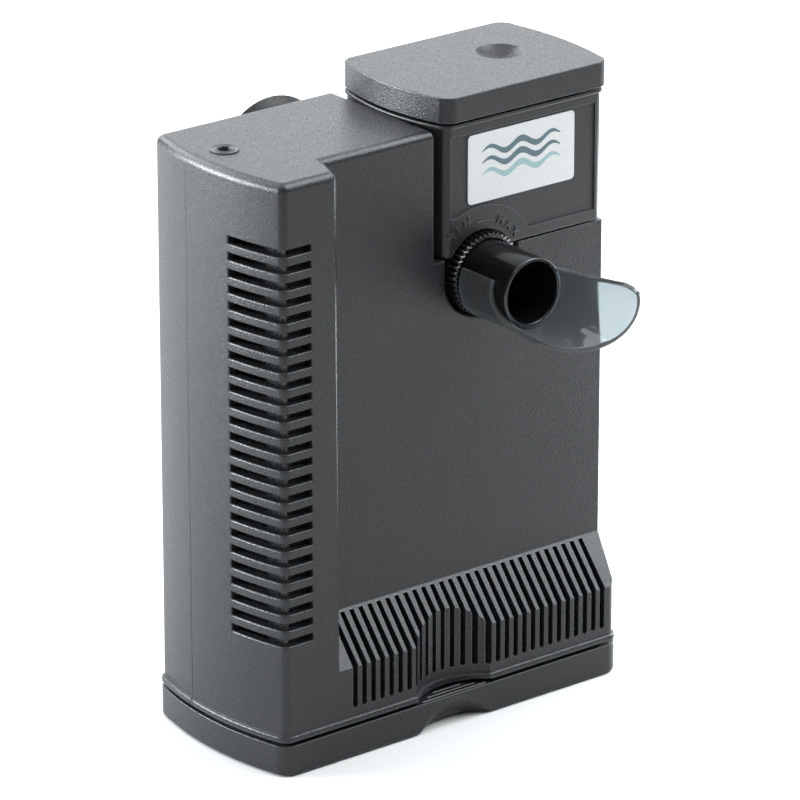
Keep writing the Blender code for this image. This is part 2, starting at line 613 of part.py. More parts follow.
# free edge of the spout, by angle round the tube: a short wing on the left that bows forward, a step,
# then a quarter-ellipse sweep under the jet to the tip, and a rounded drop behind the tip
wing_start = 155
wing_end = 235
sweep_start = 262
tip_angle = 375
rim_end = 385
wing_y = -29.5
wing_bow = 5.5
step_y = 8.0
sweep_y = 13.0
tip_drop = 3.5
collar_y = -18.6 * mm
spout_inside = 8.2 * mm


def edge_y(angle):
    wing_low = wing_y - wing_bow
    if angle <= wing_end:
        return (wing_y - wing_bow * ((angle - wing_start) / (wing_end - wing_start)) ** 2) * mm
    if angle <= sweep_start:
        span = sweep_start - wing_end
        leave = span * 2 * wing_bow / (wing_end - wing_start)
        meet = span * sweep_y * math.pi / 2 / (tip_angle - sweep_start)
        s = (angle - wing_end) / span
        fall = (3 * s ** 2 - 2 * s ** 3) * step_y + (s ** 3 - 2 * s ** 2 + s) * leave + (s ** 3 - s ** 2) * meet
        return (wing_low - fall) * mm
    if angle <= tip_angle:
        turn = math.pi / 2 * (angle - sweep_start) / (tip_angle - sweep_start)
        return (wing_low - step_y - sweep_y * math.sin(turn)) * mm
    back = (angle - tip_angle) / (rim_end - tip_angle)
    return (wing_low - step_y - sweep_y + tip_drop * back ** 2) * mm


def spout_radius(y):
    beyond = max(0.0, -32.0 * mm - y)
    return spout_inside + 0.10 * beyond + 2.2 * beyond * beyond


spout = bmesh.new()
across = 23
along = 9
thick = 1.3 * mm
inside = []
outside = []
for i in range(across + 1):
    angle = wing_start + (rim_end - wing_start) * i / across
    t = math.radians(angle)
    end = edge_y(angle)
    row_in = []
    row_out = []
    for k in range(along + 1):
        y = collar_y + (end - collar_y) * k / along
        r = spout_radius(y)
        row_in.append(spout.verts.new((out_x + r * math.cos(t), y, out_z + r * math.sin(t))))
        row_out.append(spout.verts.new((out_x + (r + thick) * math.cos(t), y, out_z + (r + thick) * math.sin(t))))
    inside.append(row_in)
    outside.append(row_out)
for i in range(across):
    for k in range(along):
        spout.faces.new((inside[i][k], inside[i + 1][k], inside[i + 1][k + 1], inside[i][k + 1]))
        spout.faces.new((outside[i][k], outside[i][k + 1], outside[i + 1][k + 1], outside[i + 1][k]))
    spout.faces.new((inside[i][0], outside[i][0], outside[i + 1][0], inside[i + 1][0]))
    spout.faces.new((inside[i][along], inside[i + 1][along], outside[i + 1][along], outside[i][along]))
for k in range(along):
    spout.faces.new((inside[0][k], inside[0][k + 1], outside[0][k + 1], outside[0][k]))
    spout.faces.new((inside[across][k], outside[across][k], outside[across][k + 1], inside[across][k + 1]))
bmesh.ops.recalc_face_normals(spout, faces=spout.faces)
piece("deflector", spout, smoke_clear, True, (out_x, collar_y, out_z))

# ---- lid -------------------------------------------------------------------------------------

def lid_plan(inset):
    return bowed(4.4 * mm + inset, 51.9 * mm - inset, 3.4 * mm, 2.6 * mm,
                 -15.9 * mm + inset, 23.4 * mm - inset, max(3.0 * mm - inset, 0.6 * mm))


lid = loft([(lid_low, lid_plan(0.3 * mm)), (lid_low + 0.3 * mm, lid_plan(0.0)), (lid_top - 0.9 * mm, lid_plan(0.0)),
            (lid_top - 0.25 * mm, lid_plan(0.35 * mm)), (lid_top, lid_plan(1.0 * mm))])
lid = cut(lid, [prism(lid_plan(1.6 * mm), 130 * mm, lid_top - 2.9 * mm)])
for x in (10.5 * mm, 44.5 * mm):
    lid = add(lid, box(x - 3 * mm, x + 3 * mm, -10.2 * mm, -8.9 * mm, 141.0 * mm, lid_top - 2.5 * mm))
    lid = add(lid, box(x - 3 * mm, x + 3 * mm, 18.4 * mm, 19.7 * mm, 141.0 * mm, lid_top - 2.5 * mm))
dimple = bmesh.new()
bmesh.ops.create_uvsphere(dimple, u_segments=28, v_segments=24, radius=9.6 * mm)
bmesh.ops.translate(dimple, verts=dimple.verts, vec=(36.8 * mm, 5.2 * mm, lid_top + 7.7 * mm))
lid = cut(lid, [dimple])
piece("lid", lid, graphite)
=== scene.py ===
import json
import math
import bpy
import bmesh
from mathutils import Vector, Matrix


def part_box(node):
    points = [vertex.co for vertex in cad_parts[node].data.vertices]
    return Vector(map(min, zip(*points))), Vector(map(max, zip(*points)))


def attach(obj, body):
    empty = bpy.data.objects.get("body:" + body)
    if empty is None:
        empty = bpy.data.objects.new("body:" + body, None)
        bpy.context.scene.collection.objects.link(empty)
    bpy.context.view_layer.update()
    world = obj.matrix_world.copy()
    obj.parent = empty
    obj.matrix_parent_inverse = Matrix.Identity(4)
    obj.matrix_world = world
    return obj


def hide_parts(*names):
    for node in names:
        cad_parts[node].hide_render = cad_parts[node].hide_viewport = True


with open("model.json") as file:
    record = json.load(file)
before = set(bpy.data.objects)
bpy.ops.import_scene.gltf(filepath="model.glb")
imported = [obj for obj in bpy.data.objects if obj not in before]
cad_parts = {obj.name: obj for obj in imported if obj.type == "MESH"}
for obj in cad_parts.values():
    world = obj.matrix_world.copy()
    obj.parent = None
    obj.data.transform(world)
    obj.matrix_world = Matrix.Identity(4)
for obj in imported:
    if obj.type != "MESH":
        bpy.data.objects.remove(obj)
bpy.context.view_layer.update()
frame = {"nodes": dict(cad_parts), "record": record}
scene = bpy.context.scene
scene.view_settings.view_transform = "Standard"
mm = 0.001


# a long lens on the front corner
cameraLook = {
    "azimuth": -38.59,
    "elevation": 20.94,
    "lens": 270.0,
    "sensor": 36.0,
    "distance": 1.3968,
    "clip": (0.05, 30.0),
    "aim": (0.003, 0.0, 0.0729),
}

azimuth = math.radians(-cameraLook["azimuth"])
elevation = math.radians(cameraLook["elevation"])
level = math.cos(elevation)
forward = Vector((math.sin(azimuth) * level, math.cos(azimuth) * level, -math.sin(elevation)))
lensData = bpy.data.cameras.new("studioCamera")
lensData.lens = cameraLook["lens"]
lensData.sensor_width = cameraLook["sensor"]
lensData.clip_start = cameraLook["clip"][0]
lensData.clip_end = cameraLook["clip"][1]
studioCamera = bpy.data.objects.new("studioCamera", lensData)
studioCamera.location = Vector(cameraLook["aim"]) - forward * cameraLook["distance"]
studioCamera.rotation_euler = forward.to_track_quat("-Z", "Y").to_euler()
scene.collection.objects.link(studioCamera)
scene.camera = studioCamera

# soft lights all round, sizes in metres and power in watts
lightLook = {
    "overhead": {"place": (0.45, 0.05, 1.7), "aim": (0.45, 0.05, 0.0), "size": (2.8, 1.9), "power": 41.0},
    "backPanel": {"place": (0.85, 1.08, 0.55), "aim": (0.0, 0.0, 0.12), "size": (1.1, 0.8), "power": 5.8},
    "leftStrip": {"place": (-1.0, 0.85, 0.27), "aim": (0.0, 0.0, 0.08), "size": (0.7, 0.5), "power": 54.0},
    "frontPanel": {"place": (0.8, -0.5, 1.15), "aim": (0.0, 0.0, 0.06), "size": (1.2, 0.95), "power": 29.0},
    "backHigh": {"place": (-0.35, 1.1, 0.85), "aim": (0.0, 0.0, 0.1), "size": (1.4, 0.75), "power": 26.0},
    "rightStrip": {"place": (1.25, 0.0, 0.35), "aim": (0.0, 0.0, 0.08), "size": (0.9, 0.6), "power": 6.0},
    "rightCard": {"place": (0.13, -0.015, 0.05), "aim": (0.0, -0.015, 0.05), "size": (0.08, 0.095),
                  "power": 0.2},
    "tint": (0.93, 0.98, 1.0),
    "world": 0.42,
    "floor": 0.53,
    "floorSize": 4.0,
    "floorDrop": 0.3 * mm,      # the floor lies this far under the base
}


def softLight(name, look):
    data = bpy.data.lights.new(name, "AREA")
    data.shape = "RECTANGLE"
    data.size = look["size"][0]
    data.size_y = look["size"][1]
    data.energy = look["power"]
    data.color = lightLook["tint"]
    lamp = bpy.data.objects.new(name, data)
    lamp.location = look["place"]
    lamp.rotation_euler = (Vector(look["aim"]) - Vector(look["place"])).to_track_quat("-Z", "Y").to_euler()
    lamp.visible_camera = False
    scene.collection.objects.link(lamp)


for lampName in ("overhead", "backPanel", "leftStrip", "frontPanel", "backHigh", "rightStrip", "rightCard"):
    softLight(lampName, lightLook[lampName])

world = bpy.data.worlds.new("studio")
world.use_nodes = True
backdrop = world.node_tree.nodes["Background"]
backdrop.inputs["Color"].default_value = (1.0, 1.0, 1.0, 1.0)
backdrop.inputs["Strength"].default_value = lightLook["world"]
scene.world = world

floorMesh = bpy.data.meshes.new("studioFloor")
sheet = bmesh.new()
bmesh.ops.create_grid(sheet, x_segments=1, y_segments=1, size=lightLook["floorSize"])
bmesh.ops.translate(sheet, verts=sheet.verts, vec=(0.0, 0.0, -lightLook["floorDrop"]))
sheet.to_mesh(floorMesh)
sheet.free()
studioFloor = bpy.data.objects.new("studioFloor", floorMesh)
scene.collection.objects.link(studioFloor)
floorPaint = bpy.data.materials.new("floorPaint")
floorPaint.use_nodes = True
floorShader = floorPaint.node_tree.nodes["Principled BSDF"]
grey = lightLook["floor"]
floorShader.inputs["Base Color"].default_value = (grey, grey, grey, 1.0)
floorShader.inputs["Roughness"].default_value = 1.0
floorShader.inputs["Specular IOR Level"].default_value = 0.0
floorMesh.materials.append(floorPaint)
print("stage: camera and light")


# paints, each made from a colour, fine grain, edge wear with a painted highlight, and bump
def newPaint(name, color, rough, spec=0.5, metal=0.0):
    mat = bpy.data.materials.new(name)
    mat.use_nodes = True
    shader = mat.node_tree.nodes["Principled BSDF"]
    shader.inputs["Base Color"].default_value = (*color, 1.0)
    shader.inputs["Roughness"].default_value = rough
    shader.inputs["Specular IOR Level"].default_value = spec
    shader.inputs["Metallic"].default_value = metal
    return mat, mat.node_tree.nodes, mat.node_tree.links, shader


def noiseField(nodes, links, scale, detail=2.0, rough=0.5):
    place = nodes.new("ShaderNodeTexCoord")
    noise = nodes.new("ShaderNodeTexNoise")
    noise.inputs["Scale"].default_value = scale
    noise.inputs["Detail"].default_value = detail
    noise.inputs["Roughness"].default_value = rough
    links.new(place.outputs["Object"], noise.inputs["Vector"])
    return noise.outputs["Fac"]


def spread(nodes, links, source, low, high, fromLow=0.3, fromHigh=0.7):
    band = nodes.new("ShaderNodeMapRange")
    band.inputs["From Min"].default_value = fromLow
    band.inputs["From Max"].default_value = fromHigh
    band.inputs["To Min"].default_value = low
    band.inputs["To Max"].default_value = high
    links.new(source, band.inputs["Value"])
    return band.outputs["Result"]


def twoTone(nodes, links, factor, first, second):
    mix = nodes.new("ShaderNodeMix")
    mix.data_type = "RGBA"
    links.new(factor, mix.inputs["Factor"])
    mix.inputs["A"].default_value = (*first, 1.0)
    mix.inputs["B"].default_value = (*second, 1.0)
    return mix


def bumped(nodes, links, shader, height, look):
    bump = nodes.new("ShaderNodeBump")
    bump.inputs["Strength"].default_value = look["bump"]
    bump.inputs["Distance"].default_value = look["depth"]
    links.new(height, bump.inputs["Height"])
    links.new(bump.outputs["Normal"], shader.inputs["Normal"])


wearHighlightGrainLook = {
    "samples": 4,
    "from": 0.75,       # full edge colour, rubbed wear and painted highlight, where the two normals agree no better than this
    "to": 0.985,        # none where they agree this well
    "cloud": 60.0,
    "finer": 1.3,       # sparkle against the grain
}


def edgeMask(nodes, links, width):
    # how far the rounded normal leans away from the true one
    soft = nodes.new("ShaderNodeBevel")
    soft.samples = wearHighlightGrainLook["samples"]
    soft.inputs["Radius"].default_value = width
    flat = nodes.new("ShaderNodeNewGeometry")
    dot = nodes.new("ShaderNodeVectorMath")
    dot.operation = "DOT_PRODUCT"
    links.new(soft.outputs["Normal"], dot.inputs[0])
    links.new(flat.outputs["Normal"], dot.inputs[1])
    return spread(nodes, links, dot.outputs["Value"], 1.0, 0.0, wearHighlightGrainLook["from"], wearHighlightGrainLook["to"])


def mouldedPlastic(name, look):
    mat, nodes, links, shader = newPaint(name, look["color"], look["rough"], look["spec"])
    grain = noiseField(nodes, links, look["grain"], 2.0, 0.6)
    speck = noiseField(nodes, links, look["grain"] * wearHighlightGrainLook["finer"], 1.0)
    cloud = noiseField(nodes, links, wearHighlightGrainLook["cloud"], 3.0)
    tone = twoTone(nodes, links, spread(nodes, links, cloud, 0.0, 1.0), look["color"], look["shade"])
    # painted highlight and wear: the edge mask mixes a much lighter colour onto every rounded edge
    wearAndHighlight = edgeMask(nodes, links, look["edge"])
    wornAndHighlit = nodes.new("ShaderNodeMix")
    wornAndHighlit.data_type = "RGBA"
    links.new(wearAndHighlight, wornAndHighlit.inputs["Factor"])
    links.new(tone.outputs["Result"], wornAndHighlit.inputs["A"])
    wornAndHighlit.inputs["B"].default_value = (*look["wornAndHighlit"], 1.0)
    links.new(wornAndHighlit.outputs["Result"], shader.inputs["Base Color"])
    sparkle = spread(nodes, links, speck, look["rough"] - look["spark"], look["rough"] + look["spark"])
    links.new(sparkle, shader.inputs["Roughness"])
    bumped(nodes, links, shader, grain, look)
    return mat


graphiteLook = {
    "color": (0.0125, 0.0132, 0.0150),
    "shade": (0.0110, 0.0117, 0.0132),
    # edge colour about eight times lighter than the plastic: rubbed wear and painted highlight
    "wornAndHighlit": (0.105, 0.108, 0.115),
    "rough": 0.27,
    "spec": 0.33,
    "spark": 0.09,
    "grain": 2700.0,
    "bump": 0.6,
    "depth": 0.16 * mm,
    "edge": 0.35 * mm,
}
graphite = mouldedPlastic("sparkGraphitePlastic", graphiteLook)
headPaint = {
    **graphiteLook,
    "color": (0.0118, 0.0124, 0.0140),
    "shade": (0.0105, 0.0110, 0.0125),
    "bump": 0.5,
    "rough": 0.34,
    "spark": 0.04,
}
headPlastic = mouldedPlastic("fineGraphitePlastic", headPaint)
glossLook = {
    "color": (0.006, 0.006, 0.007),
    "shade": (0.004, 0.004, 0.005),
    # lighter edge colour: rubbed wear and painted highlight
    "wornAndHighlit": (0.03, 0.03, 0.033),
    "rough": 0.16,
    "spec": 0.5,
    "spark": 0.03,
    "grain": 900.0,
    "bump": 0.05,
    "depth": 0.02 * mm,
    "edge": 0.2 * mm,
}
glossBlack = mouldedPlastic("glossBlackPlastic", glossLook)
rubberLook = {
    **glossLook,
    "color": (0.010, 0.010, 0.011),
    "shade": (0.007, 0.007, 0.008),
    "spec": 0.2,
    "rough": 0.42,
    "spark": 0.08,
    "bump": 0.2,
}
rubber = mouldedPlastic("softBlackRubber", rubberLook)
nylonLook = {
    **glossLook,
    "color": (0.74, 0.73, 0.70),
    "shade": (0.68, 0.67, 0.63),
    # lighter edge colour: rubbed wear and painted highlight
    "wornAndHighlit": (0.85, 0.84, 0.82),
    "rough": 0.4,
}
nylon = mouldedPlastic("naturalNylon", nylonLook)
blueLook = {
    **glossLook,
    "color": (0.04, 0.14, 0.40),
    "shade": (0.03, 0.11, 0.33),
    # lighter edge colour: rubbed wear and painted highlight
    "wornAndHighlit": (0.12, 0.26, 0.55),
    "rough": 0.3,
}
bluePlastic = mouldedPlastic("bluePropPlastic", blueLook)
ceramicLook = {
    **glossLook,
    "color": (0.84, 0.83, 0.80),
    "shade": (0.78, 0.77, 0.73),
    # lighter edge colour: rubbed wear and painted highlight
    "wornAndHighlit": (0.9, 0.89, 0.87),
    "rough": 0.18,
}
ceramic = mouldedPlastic("polishedCeramic", ceramicLook)
ferriteLook = {
    **glossLook,
    "color": (0.06, 0.06, 0.065),
    "shade": (0.045, 0.045, 0.048),
    # lighter edge colour: rubbed wear and painted highlight
    "wornAndHighlit": (0.14, 0.14, 0.15),
    "rough": 0.5,
}
ferrite = mouldedPlastic("sinteredFerrite", ferriteLook)


smokeLook = {
    "color": (0.86, 0.89, 0.91),
    "shade": (0.80, 0.84, 0.87),
    "cloud": 90.0,
    "rough": 0.03,
    "rougher": 2.5,             # the roughest places are this many times as rough
    "clear": 0.95,
    "bending": 1.49,
    "tint": (0.33, 0.40, 0.42),
    "density": 850.0,           # per metre of plastic that the light goes through
}


def smokedClear(name, look):
    mat, nodes, links, shader = newPaint(name, look["color"], look["rough"])
    shader.inputs["Transmission Weight"].default_value = look["clear"]
    shader.inputs["IOR"].default_value = look["bending"]
    cloud = noiseField(nodes, links, look["cloud"], 2.0)
    tone = twoTone(nodes, links, spread(nodes, links, cloud, 0.0, 1.0), look["color"], look["shade"])
    links.new(tone.outputs["Result"], shader.inputs["Base Color"])
    haze = spread(nodes, links, cloud, look["rough"], look["rough"] * look["rougher"])
    links.new(haze, shader.inputs["Roughness"])
    smokeTint = nodes.new("ShaderNodeVolumeAbsorption")
    smokeTint.inputs["Color"].default_value = (*look["tint"], 1.0)
    smokeTint.inputs["Density"].default_value = look["density"]
    links.new(smokeTint.outputs["Volume"], nodes["Material Output"].inputs["Volume"])
    return mat


smoke = smokedClear("smokeClearPlastic", smokeLook)

filmLook = {
    "color": (0.50, 0.505, 0.51),
    "shade": (0.46, 0.465, 0.47),
    "rough": 0.42,
    "metal": 0.1,
    "brush": 1500.0,
    "smoother": 0.05,
    "rougher": 0.08,
    "bump": 0.1,
    "depth": 0.02 * mm,
}
darkLook = {
    **filmLook,
    "color": (0.055, 0.10, 0.12),
    "shade": (0.045, 0.085, 0.10),
    "rough": 0.4,
    "metal": 0.0,
}
paleLook = {**darkLook, "color": (0.22, 0.33, 0.34), "shade": (0.19, 0.30, 0.31)}


def labelFilm(name, look):
    mat, nodes, links, shader = newPaint(name, look["color"], look["rough"], 0.5, look["metal"])
    brushed = noiseField(nodes, links, look["brush"], 2.0)
    tone = twoTone(nodes, links, spread(nodes, links, brushed, 0.0, 1.0), look["color"], look["shade"])
    links.new(tone.outputs["Result"], shader.inputs["Base Color"])
    sheen = spread(nodes, links, brushed, look["rough"] - look["smoother"], look["rough"] + look["rougher"])
    links.new(sheen, shader.inputs["Roughness"])
    bumped(nodes, links, shader, brushed, look)
    return mat


silverFilm = labelFilm("silverLabelFilm", filmLook)
darkInk = labelFilm("darkLabelInk", darkLook)
paleInk = labelFilm("paleLabelInk", paleLook)

foamLook = {
    "color": (0.030, 0.031, 0.033),
    "shade": (0.006, 0.006, 0.006),
    "rough": 0.95,
    "spec": 0.2,
    "cells": 900.0,
    "bump": 0.9,
    "depth": 0.5 * mm,
}


def openFoam(name, look):
    mat, nodes, links, shader = newPaint(name, look["color"], look["rough"], look["spec"])
    place = nodes.new("ShaderNodeTexCoord")
    cells = nodes.new("ShaderNodeTexVoronoi")
    cells.inputs["Scale"].default_value = look["cells"]
    links.new(place.outputs["Object"], cells.inputs["Vector"])
    pore = spread(nodes, links, cells.outputs["Distance"], 1.0, 0.0, 0.1, 0.6)
    tone = twoTone(nodes, links, pore, look["color"], look["shade"])
    links.new(tone.outputs["Result"], shader.inputs["Base Color"])
    bumped(nodes, links, shader, cells.outputs["Distance"], look)
    links.new(spread(nodes, links, pore, 0.8, 1.0, 0.0, 1.0), shader.inputs["Roughness"])
    return mat


blackFoam = openFoam("blackOpenFoam", foamLook)

steelLook = {
    "color": (0.36, 0.36, 0.37),
    "shade": (0.16, 0.15, 0.15),
    "rough": 0.38,
    "rougher": 0.15,
    "metal": 0.9,
    "lines": 320.0,
    "waver": 0.4,
    "bump": 0.5,
    "depth": 0.1 * mm,
}
copperLook = {
    **steelLook,
    "color": (0.66, 0.30, 0.14),
    "shade": (0.28, 0.10, 0.05),
    "rough": 0.3,
    "metal": 0.85,
    "lines": 420.0,
}


def stackedMetal(name, look):
    mat, nodes, links, shader = newPaint(name, look["color"], look["rough"], 0.5, look["metal"])
    place = nodes.new("ShaderNodeTexCoord")
    lines = nodes.new("ShaderNodeTexWave")
    lines.bands_direction = "Z"
    lines.inputs["Scale"].default_value = look["lines"]
    lines.inputs["Distortion"].default_value = look["waver"]
    links.new(place.outputs["Object"], lines.inputs["Vector"])
    bands = lines.outputs["Fac"]
    tone = twoTone(nodes, links, bands, look["shade"], look["color"])
    links.new(tone.outputs["Result"], shader.inputs["Base Color"])
    dull = spread(nodes, links, bands, look["rough"] + look["rougher"], look["rough"], 0.0, 1.0)
    links.new(dull, shader.inputs["Roughness"])
    bumped(nodes, links, shader, bands, look)
    return mat


laminations = stackedMetal("laminatedSteel", steelLook)
windingCopper = stackedMetal("enamelledCopper", copperLook)

finishOf = {
    "graphite_plastic": graphite,
    "gloss_black_plastic": glossBlack,
    "smoke_clear_plastic": smoke,
    "black_rubber": rubber,
    "label_film": silverFilm,
    "foam": blackFoam,
    "lamination_steel": laminations,
    "copper_winding": windingCopper,
    "ceramic": ceramic,
    "ferrite": ferrite,
    "impeller_plastic": bluePlastic,
    "nylon": nylon,
}
for entry in frame["record"]["subparts"]:
    node = frame["nodes"][entry["node"]]
    for place in node.material_slots:
        place.material = finishOf[entry["material_slot"]]
print("stage: finishes")


fuzz = 0.01 * mm        # places nearer than this count as one
past = 60 * mm          # beyond the part in front and behind
wide = 80 * mm          # beyond it at the sides
tall = 170 * mm         # above its top


# solids to cut and join
def block(x0, x1, y0, y1, z0, z1):
    bm = bmesh.new()
    bmesh.ops.create_cube(bm, size=1.0)
    bmesh.ops.scale(bm, verts=bm.verts, vec=(x1 - x0, y1 - y0, z1 - z0))
    bmesh.ops.translate(bm, verts=bm.verts, vec=((x0 + x1) / 2, (y0 + y1) / 2, (z0 + z1) / 2))
    return bm


def drum(axis, u, v, radius, low, high, steps=64, endRadius=None):
    # round bar or cone along one axis, radius at the low end first
    bm = bmesh.new()
    last = radius if endRadius is None else endRadius
    bmesh.ops.create_cone(bm, cap_ends=True, segments=steps, radius1=radius, radius2=last, depth=high - low)
    bmesh.ops.translate(bm, verts=bm.verts, vec=(0.0, 0.0, (low + high) / 2))
    if axis == "Y":
        bmesh.ops.rotate(bm, verts=bm.verts, cent=(0, 0, 0), matrix=Matrix.Rotation(-math.pi / 2, 3, "X"))
        bmesh.ops.translate(bm, verts=bm.verts, vec=(u, 0.0, v))
    else:
        bmesh.ops.translate(bm, verts=bm.verts, vec=(u, v, 0.0))
    return bm


def bowedBlock(plan, low, high, sideSteps=16, cornerSteps=8):
    # flat front and back, short sides bowed out, upright corners rounded
    bm = bmesh.new()
    bmesh.ops.create_grid(bm, x_segments=1, y_segments=sideSteps, size=1.0)
    bmesh.ops.dissolve_faces(bm, faces=bm.faces[:], use_verts=False)
    mid = (plan["left"] + plan["right"]) / 2
    half = (plan["right"] - plan["left"]) / 2
    centre = (plan["front"] + plan["back"]) / 2
    depth = (plan["back"] - plan["front"]) / 2
    for v in bm.verts:
        side = 1.0 if v.co.x > 0 else -1.0
        bow = plan["rightBow"] if side > 0 else plan["leftBow"]
        v.co = (mid + side * (half + bow * (1.0 - v.co.y ** 2)), centre + v.co.y * depth, low)
    corners = [v for v in bm.verts if abs(abs(v.co.y - centre) - depth) < fuzz]
    bmesh.ops.bevel(bm, geom=corners, offset=plan["corner"], offset_type="OFFSET", affect="VERTICES",
                    segments=cornerSteps, profile=0.5, material=-1, clamp_overlap=True)
    up = bmesh.ops.extrude_face_region(bm, geom=bm.faces[:])
    raised = [item for item in up["geom"] if isinstance(item, bmesh.types.BMVert)]
    bmesh.ops.translate(bm, verts=raised, vec=(0.0, 0.0, high - low))
    bmesh.ops.recalc_face_normals(bm, faces=bm.faces)
    return bm


def inset(plan, amount):
    small = dict(plan)
    small["left"] += amount
    small["right"] -= amount
    small["front"] += amount
    small["back"] -= amount
    small["corner"] = max(plan["corner"] - amount, 0.5 * mm)
    return small


def heldObject(bm):
    mesh = bpy.data.meshes.new("bench")
    bm.to_mesh(mesh)
    bm.free()
    ob = bpy.data.objects.new("bench", mesh)
    scene.collection.objects.link(ob)
    return ob


def evaluated(ob):
    graph = bpy.context.evaluated_depsgraph_get()
    mesh = bpy.data.meshes.new_from_object(ob.evaluated_get(graph))
    out = bmesh.new()
    out.from_mesh(mesh)
    bpy.data.meshes.remove(mesh)
    return out


def dropObject(ob):
    data = ob.data
    bpy.data.objects.remove(ob, do_unlink=True)
    bpy.data.meshes.remove(data)


def joined(parts):
    out = bmesh.new()
    for part in parts:
        mesh = bpy.data.meshes.new("bench")
        part.to_mesh(mesh)
        part.free()
        out.from_mesh(mesh)
        bpy.data.meshes.remove(mesh)
    return out


def combined(base, tool, how):
    target = heldObject(base)
    other = heldObject(tool)
    mod = target.modifiers.new("combine", "BOOLEAN")
    mod.operation = how
    mod.solver = "EXACT"
    mod.object = other
    out = evaluated(target)
    dropObject(target)
    dropObject(other)
    bmesh.ops.remove_doubles(out, verts=out.verts, dist=0.0004 * mm)
    bmesh.ops.dissolve_degenerate(out, edges=out.edges, dist=0.0004 * mm)
    return out


def cut(base, *tools):
    return combined(base, joined(tools), "DIFFERENCE")


def add(base, tool):
    return combined(base, tool, "UNION")


def keep(base, tool):
    return combined(base, tool, "INTERSECT")


def bothEnds(test):
    # gives its full weight to an edge whose two ends pass the test
    return lambda edge: 1.0 if all(test(v.co) for v in edge.verts) else 0.0


def levelEdges(turn):
    # and here to a level edge whose faces turn by more than this, in radians
    def weight(edge):
        a, b = (v.co for v in edge.verts)
        return 1.0 if abs(a.z - b.z) < fuzz and edge.calc_face_angle(0.0) > turn else 0.0

    return weight


def eased(bm, width, segments, weightOf, clamp=True):
    # rounds the edges that weightOf gives a weight to
    layer = bm.edges.layers.float.get("bevel_weight_edge") or bm.edges.layers.float.new("bevel_weight_edge")
    for edge in bm.edges:
        edge[layer] = weightOf(edge)
    ob = heldObject(bm)
    mod = ob.modifiers.new("ease", "BEVEL")
    mod.limit_method = "WEIGHT"
    mod.offset_type = "OFFSET"
    mod.width = width
    mod.segments = segments
    mod.profile = 0.5
    mod.use_clamp_overlap = clamp
    out = evaluated(ob)
    dropObject(ob)
    spent = out.edges.layers.float.get("bevel_weight_edge")
    if spent:
        for edge in out.edges:
            edge[spent] = 0.0
    return out


def turned(axis, u, v, profile, steps=96):
    # profile is an open run of (radius, level); a run that should close repeats its first point
    bm = bmesh.new()
    run = [bm.verts.new((radius, 0.0, height)) for radius, height in profile]
    links = [bm.edges.new(pair) for pair in zip(run, run[1:])]
    bmesh.ops.spin(bm, geom=run + links, cent=(0, 0, 0), axis=(0, 0, 1), dvec=(0, 0, 0), angle=2 * math.pi,
                   steps=steps, use_merge=True, use_duplicate=False)
    bmesh.ops.remove_doubles(bm, verts=bm.verts, dist=0.001 * mm)
    if axis == "Y":
        bmesh.ops.rotate(bm, verts=bm.verts, cent=(0, 0, 0), matrix=Matrix.Rotation(-math.pi / 2, 3, "X"))
        bmesh.ops.translate(bm, verts=bm.verts, vec=(u, 0.0, v))
    else:
        bmesh.ops.translate(bm, verts=bm.verts, vec=(u, v, 0.0))
    bmesh.ops.recalc_face_normals(bm, faces=bm.faces)
    return bm


def arcRun(cu, cv, radius, start, end, steps):
    run = []
    for i in range(steps + 1):
        t = math.radians(start + (end - start) * i / steps)
        run.append((cu + radius * math.cos(t), cv + radius * math.sin(t)))
    return run


def finished(name, bm, paint, body, stands=(), sharp=32.0, weighted=True):
    mesh = bpy.data.meshes.new(name)
    bm.to_mesh(mesh)
    bm.free()
    mesh.materials.append(paint)
    mesh.shade_smooth()
    mesh.set_sharp_from_angle(angle=math.radians(sharp))
    ob = bpy.data.objects.new(name, mesh)
    scene.collection.objects.link(ob)
    if weighted:
        mod = ob.modifiers.new("faceWeight", "WEIGHTED_NORMAL")
        mod.keep_sharp = True
        mod.weight = 50
    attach(ob, body)
    if stands:
        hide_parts(*stands)
    print("piece:", name, len(mesh.polygons))
    return ob


# housing, with its sizes taken from the frame
casingLow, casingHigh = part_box("front_casing")
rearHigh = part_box("rear_casing")[1]
baseLow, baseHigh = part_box("base_cover")
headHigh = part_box("pump_case")[1]
tubeLow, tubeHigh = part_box("outlet_tube")
outletX = (tubeLow[0] + tubeHigh[0]) / 2
outletZ = (tubeLow[2] + tubeHigh[2]) / 2

casingLook = {
    "bow": 3.7 * mm,
    "corner": 1.6 * mm,
    "wall": 1.8 * mm,
    "panelY": -14.9 * mm,
    "slopeTop": 32.7 * mm,
    "slopeBottom": 22.0 * mm,
    "columnX": -33.8 * mm,
    "columnLean": 3.3 * mm,
    "cutX": 0.8 * mm,
    "cutZ": 111.0 * mm,
    "roofRound": 2.5 * mm,
    "dentRadius": 16.5 * mm,
    "dentDepth": 4.4 * mm,
    "seamY": 7.7 * mm,
    "seamGap": 0.14 * mm,
    "beadHeight": 1.3 * mm,
    "beadOut": 0.6 * mm,
    "beadRound": 0.45 * mm,
    "wellX": 27.4 * mm,
    "wellY": 3.7 * mm,
    "wellRadius": 16.5 * mm,
    "pocketRadius": 10.4 * mm,
    "pocketRound": 0.9 * mm,
    "airX": -43.8 * mm,         # small hole in the roof
    "airY": 4.6 * mm,
    "airHole": 2.6 * mm,
}
slotLook = {
    "count": 25,
    "pitch": 3.915 * mm,
    "first": 32.8 * mm,
    "height": 1.75 * mm,
    "frontEnd": -41.2 * mm,
    "sideEnd": -7.6 * mm,
    "ease": 0.38 * mm,
    "skin": 0.9 * mm,           # only edges this near the outside are eased
}
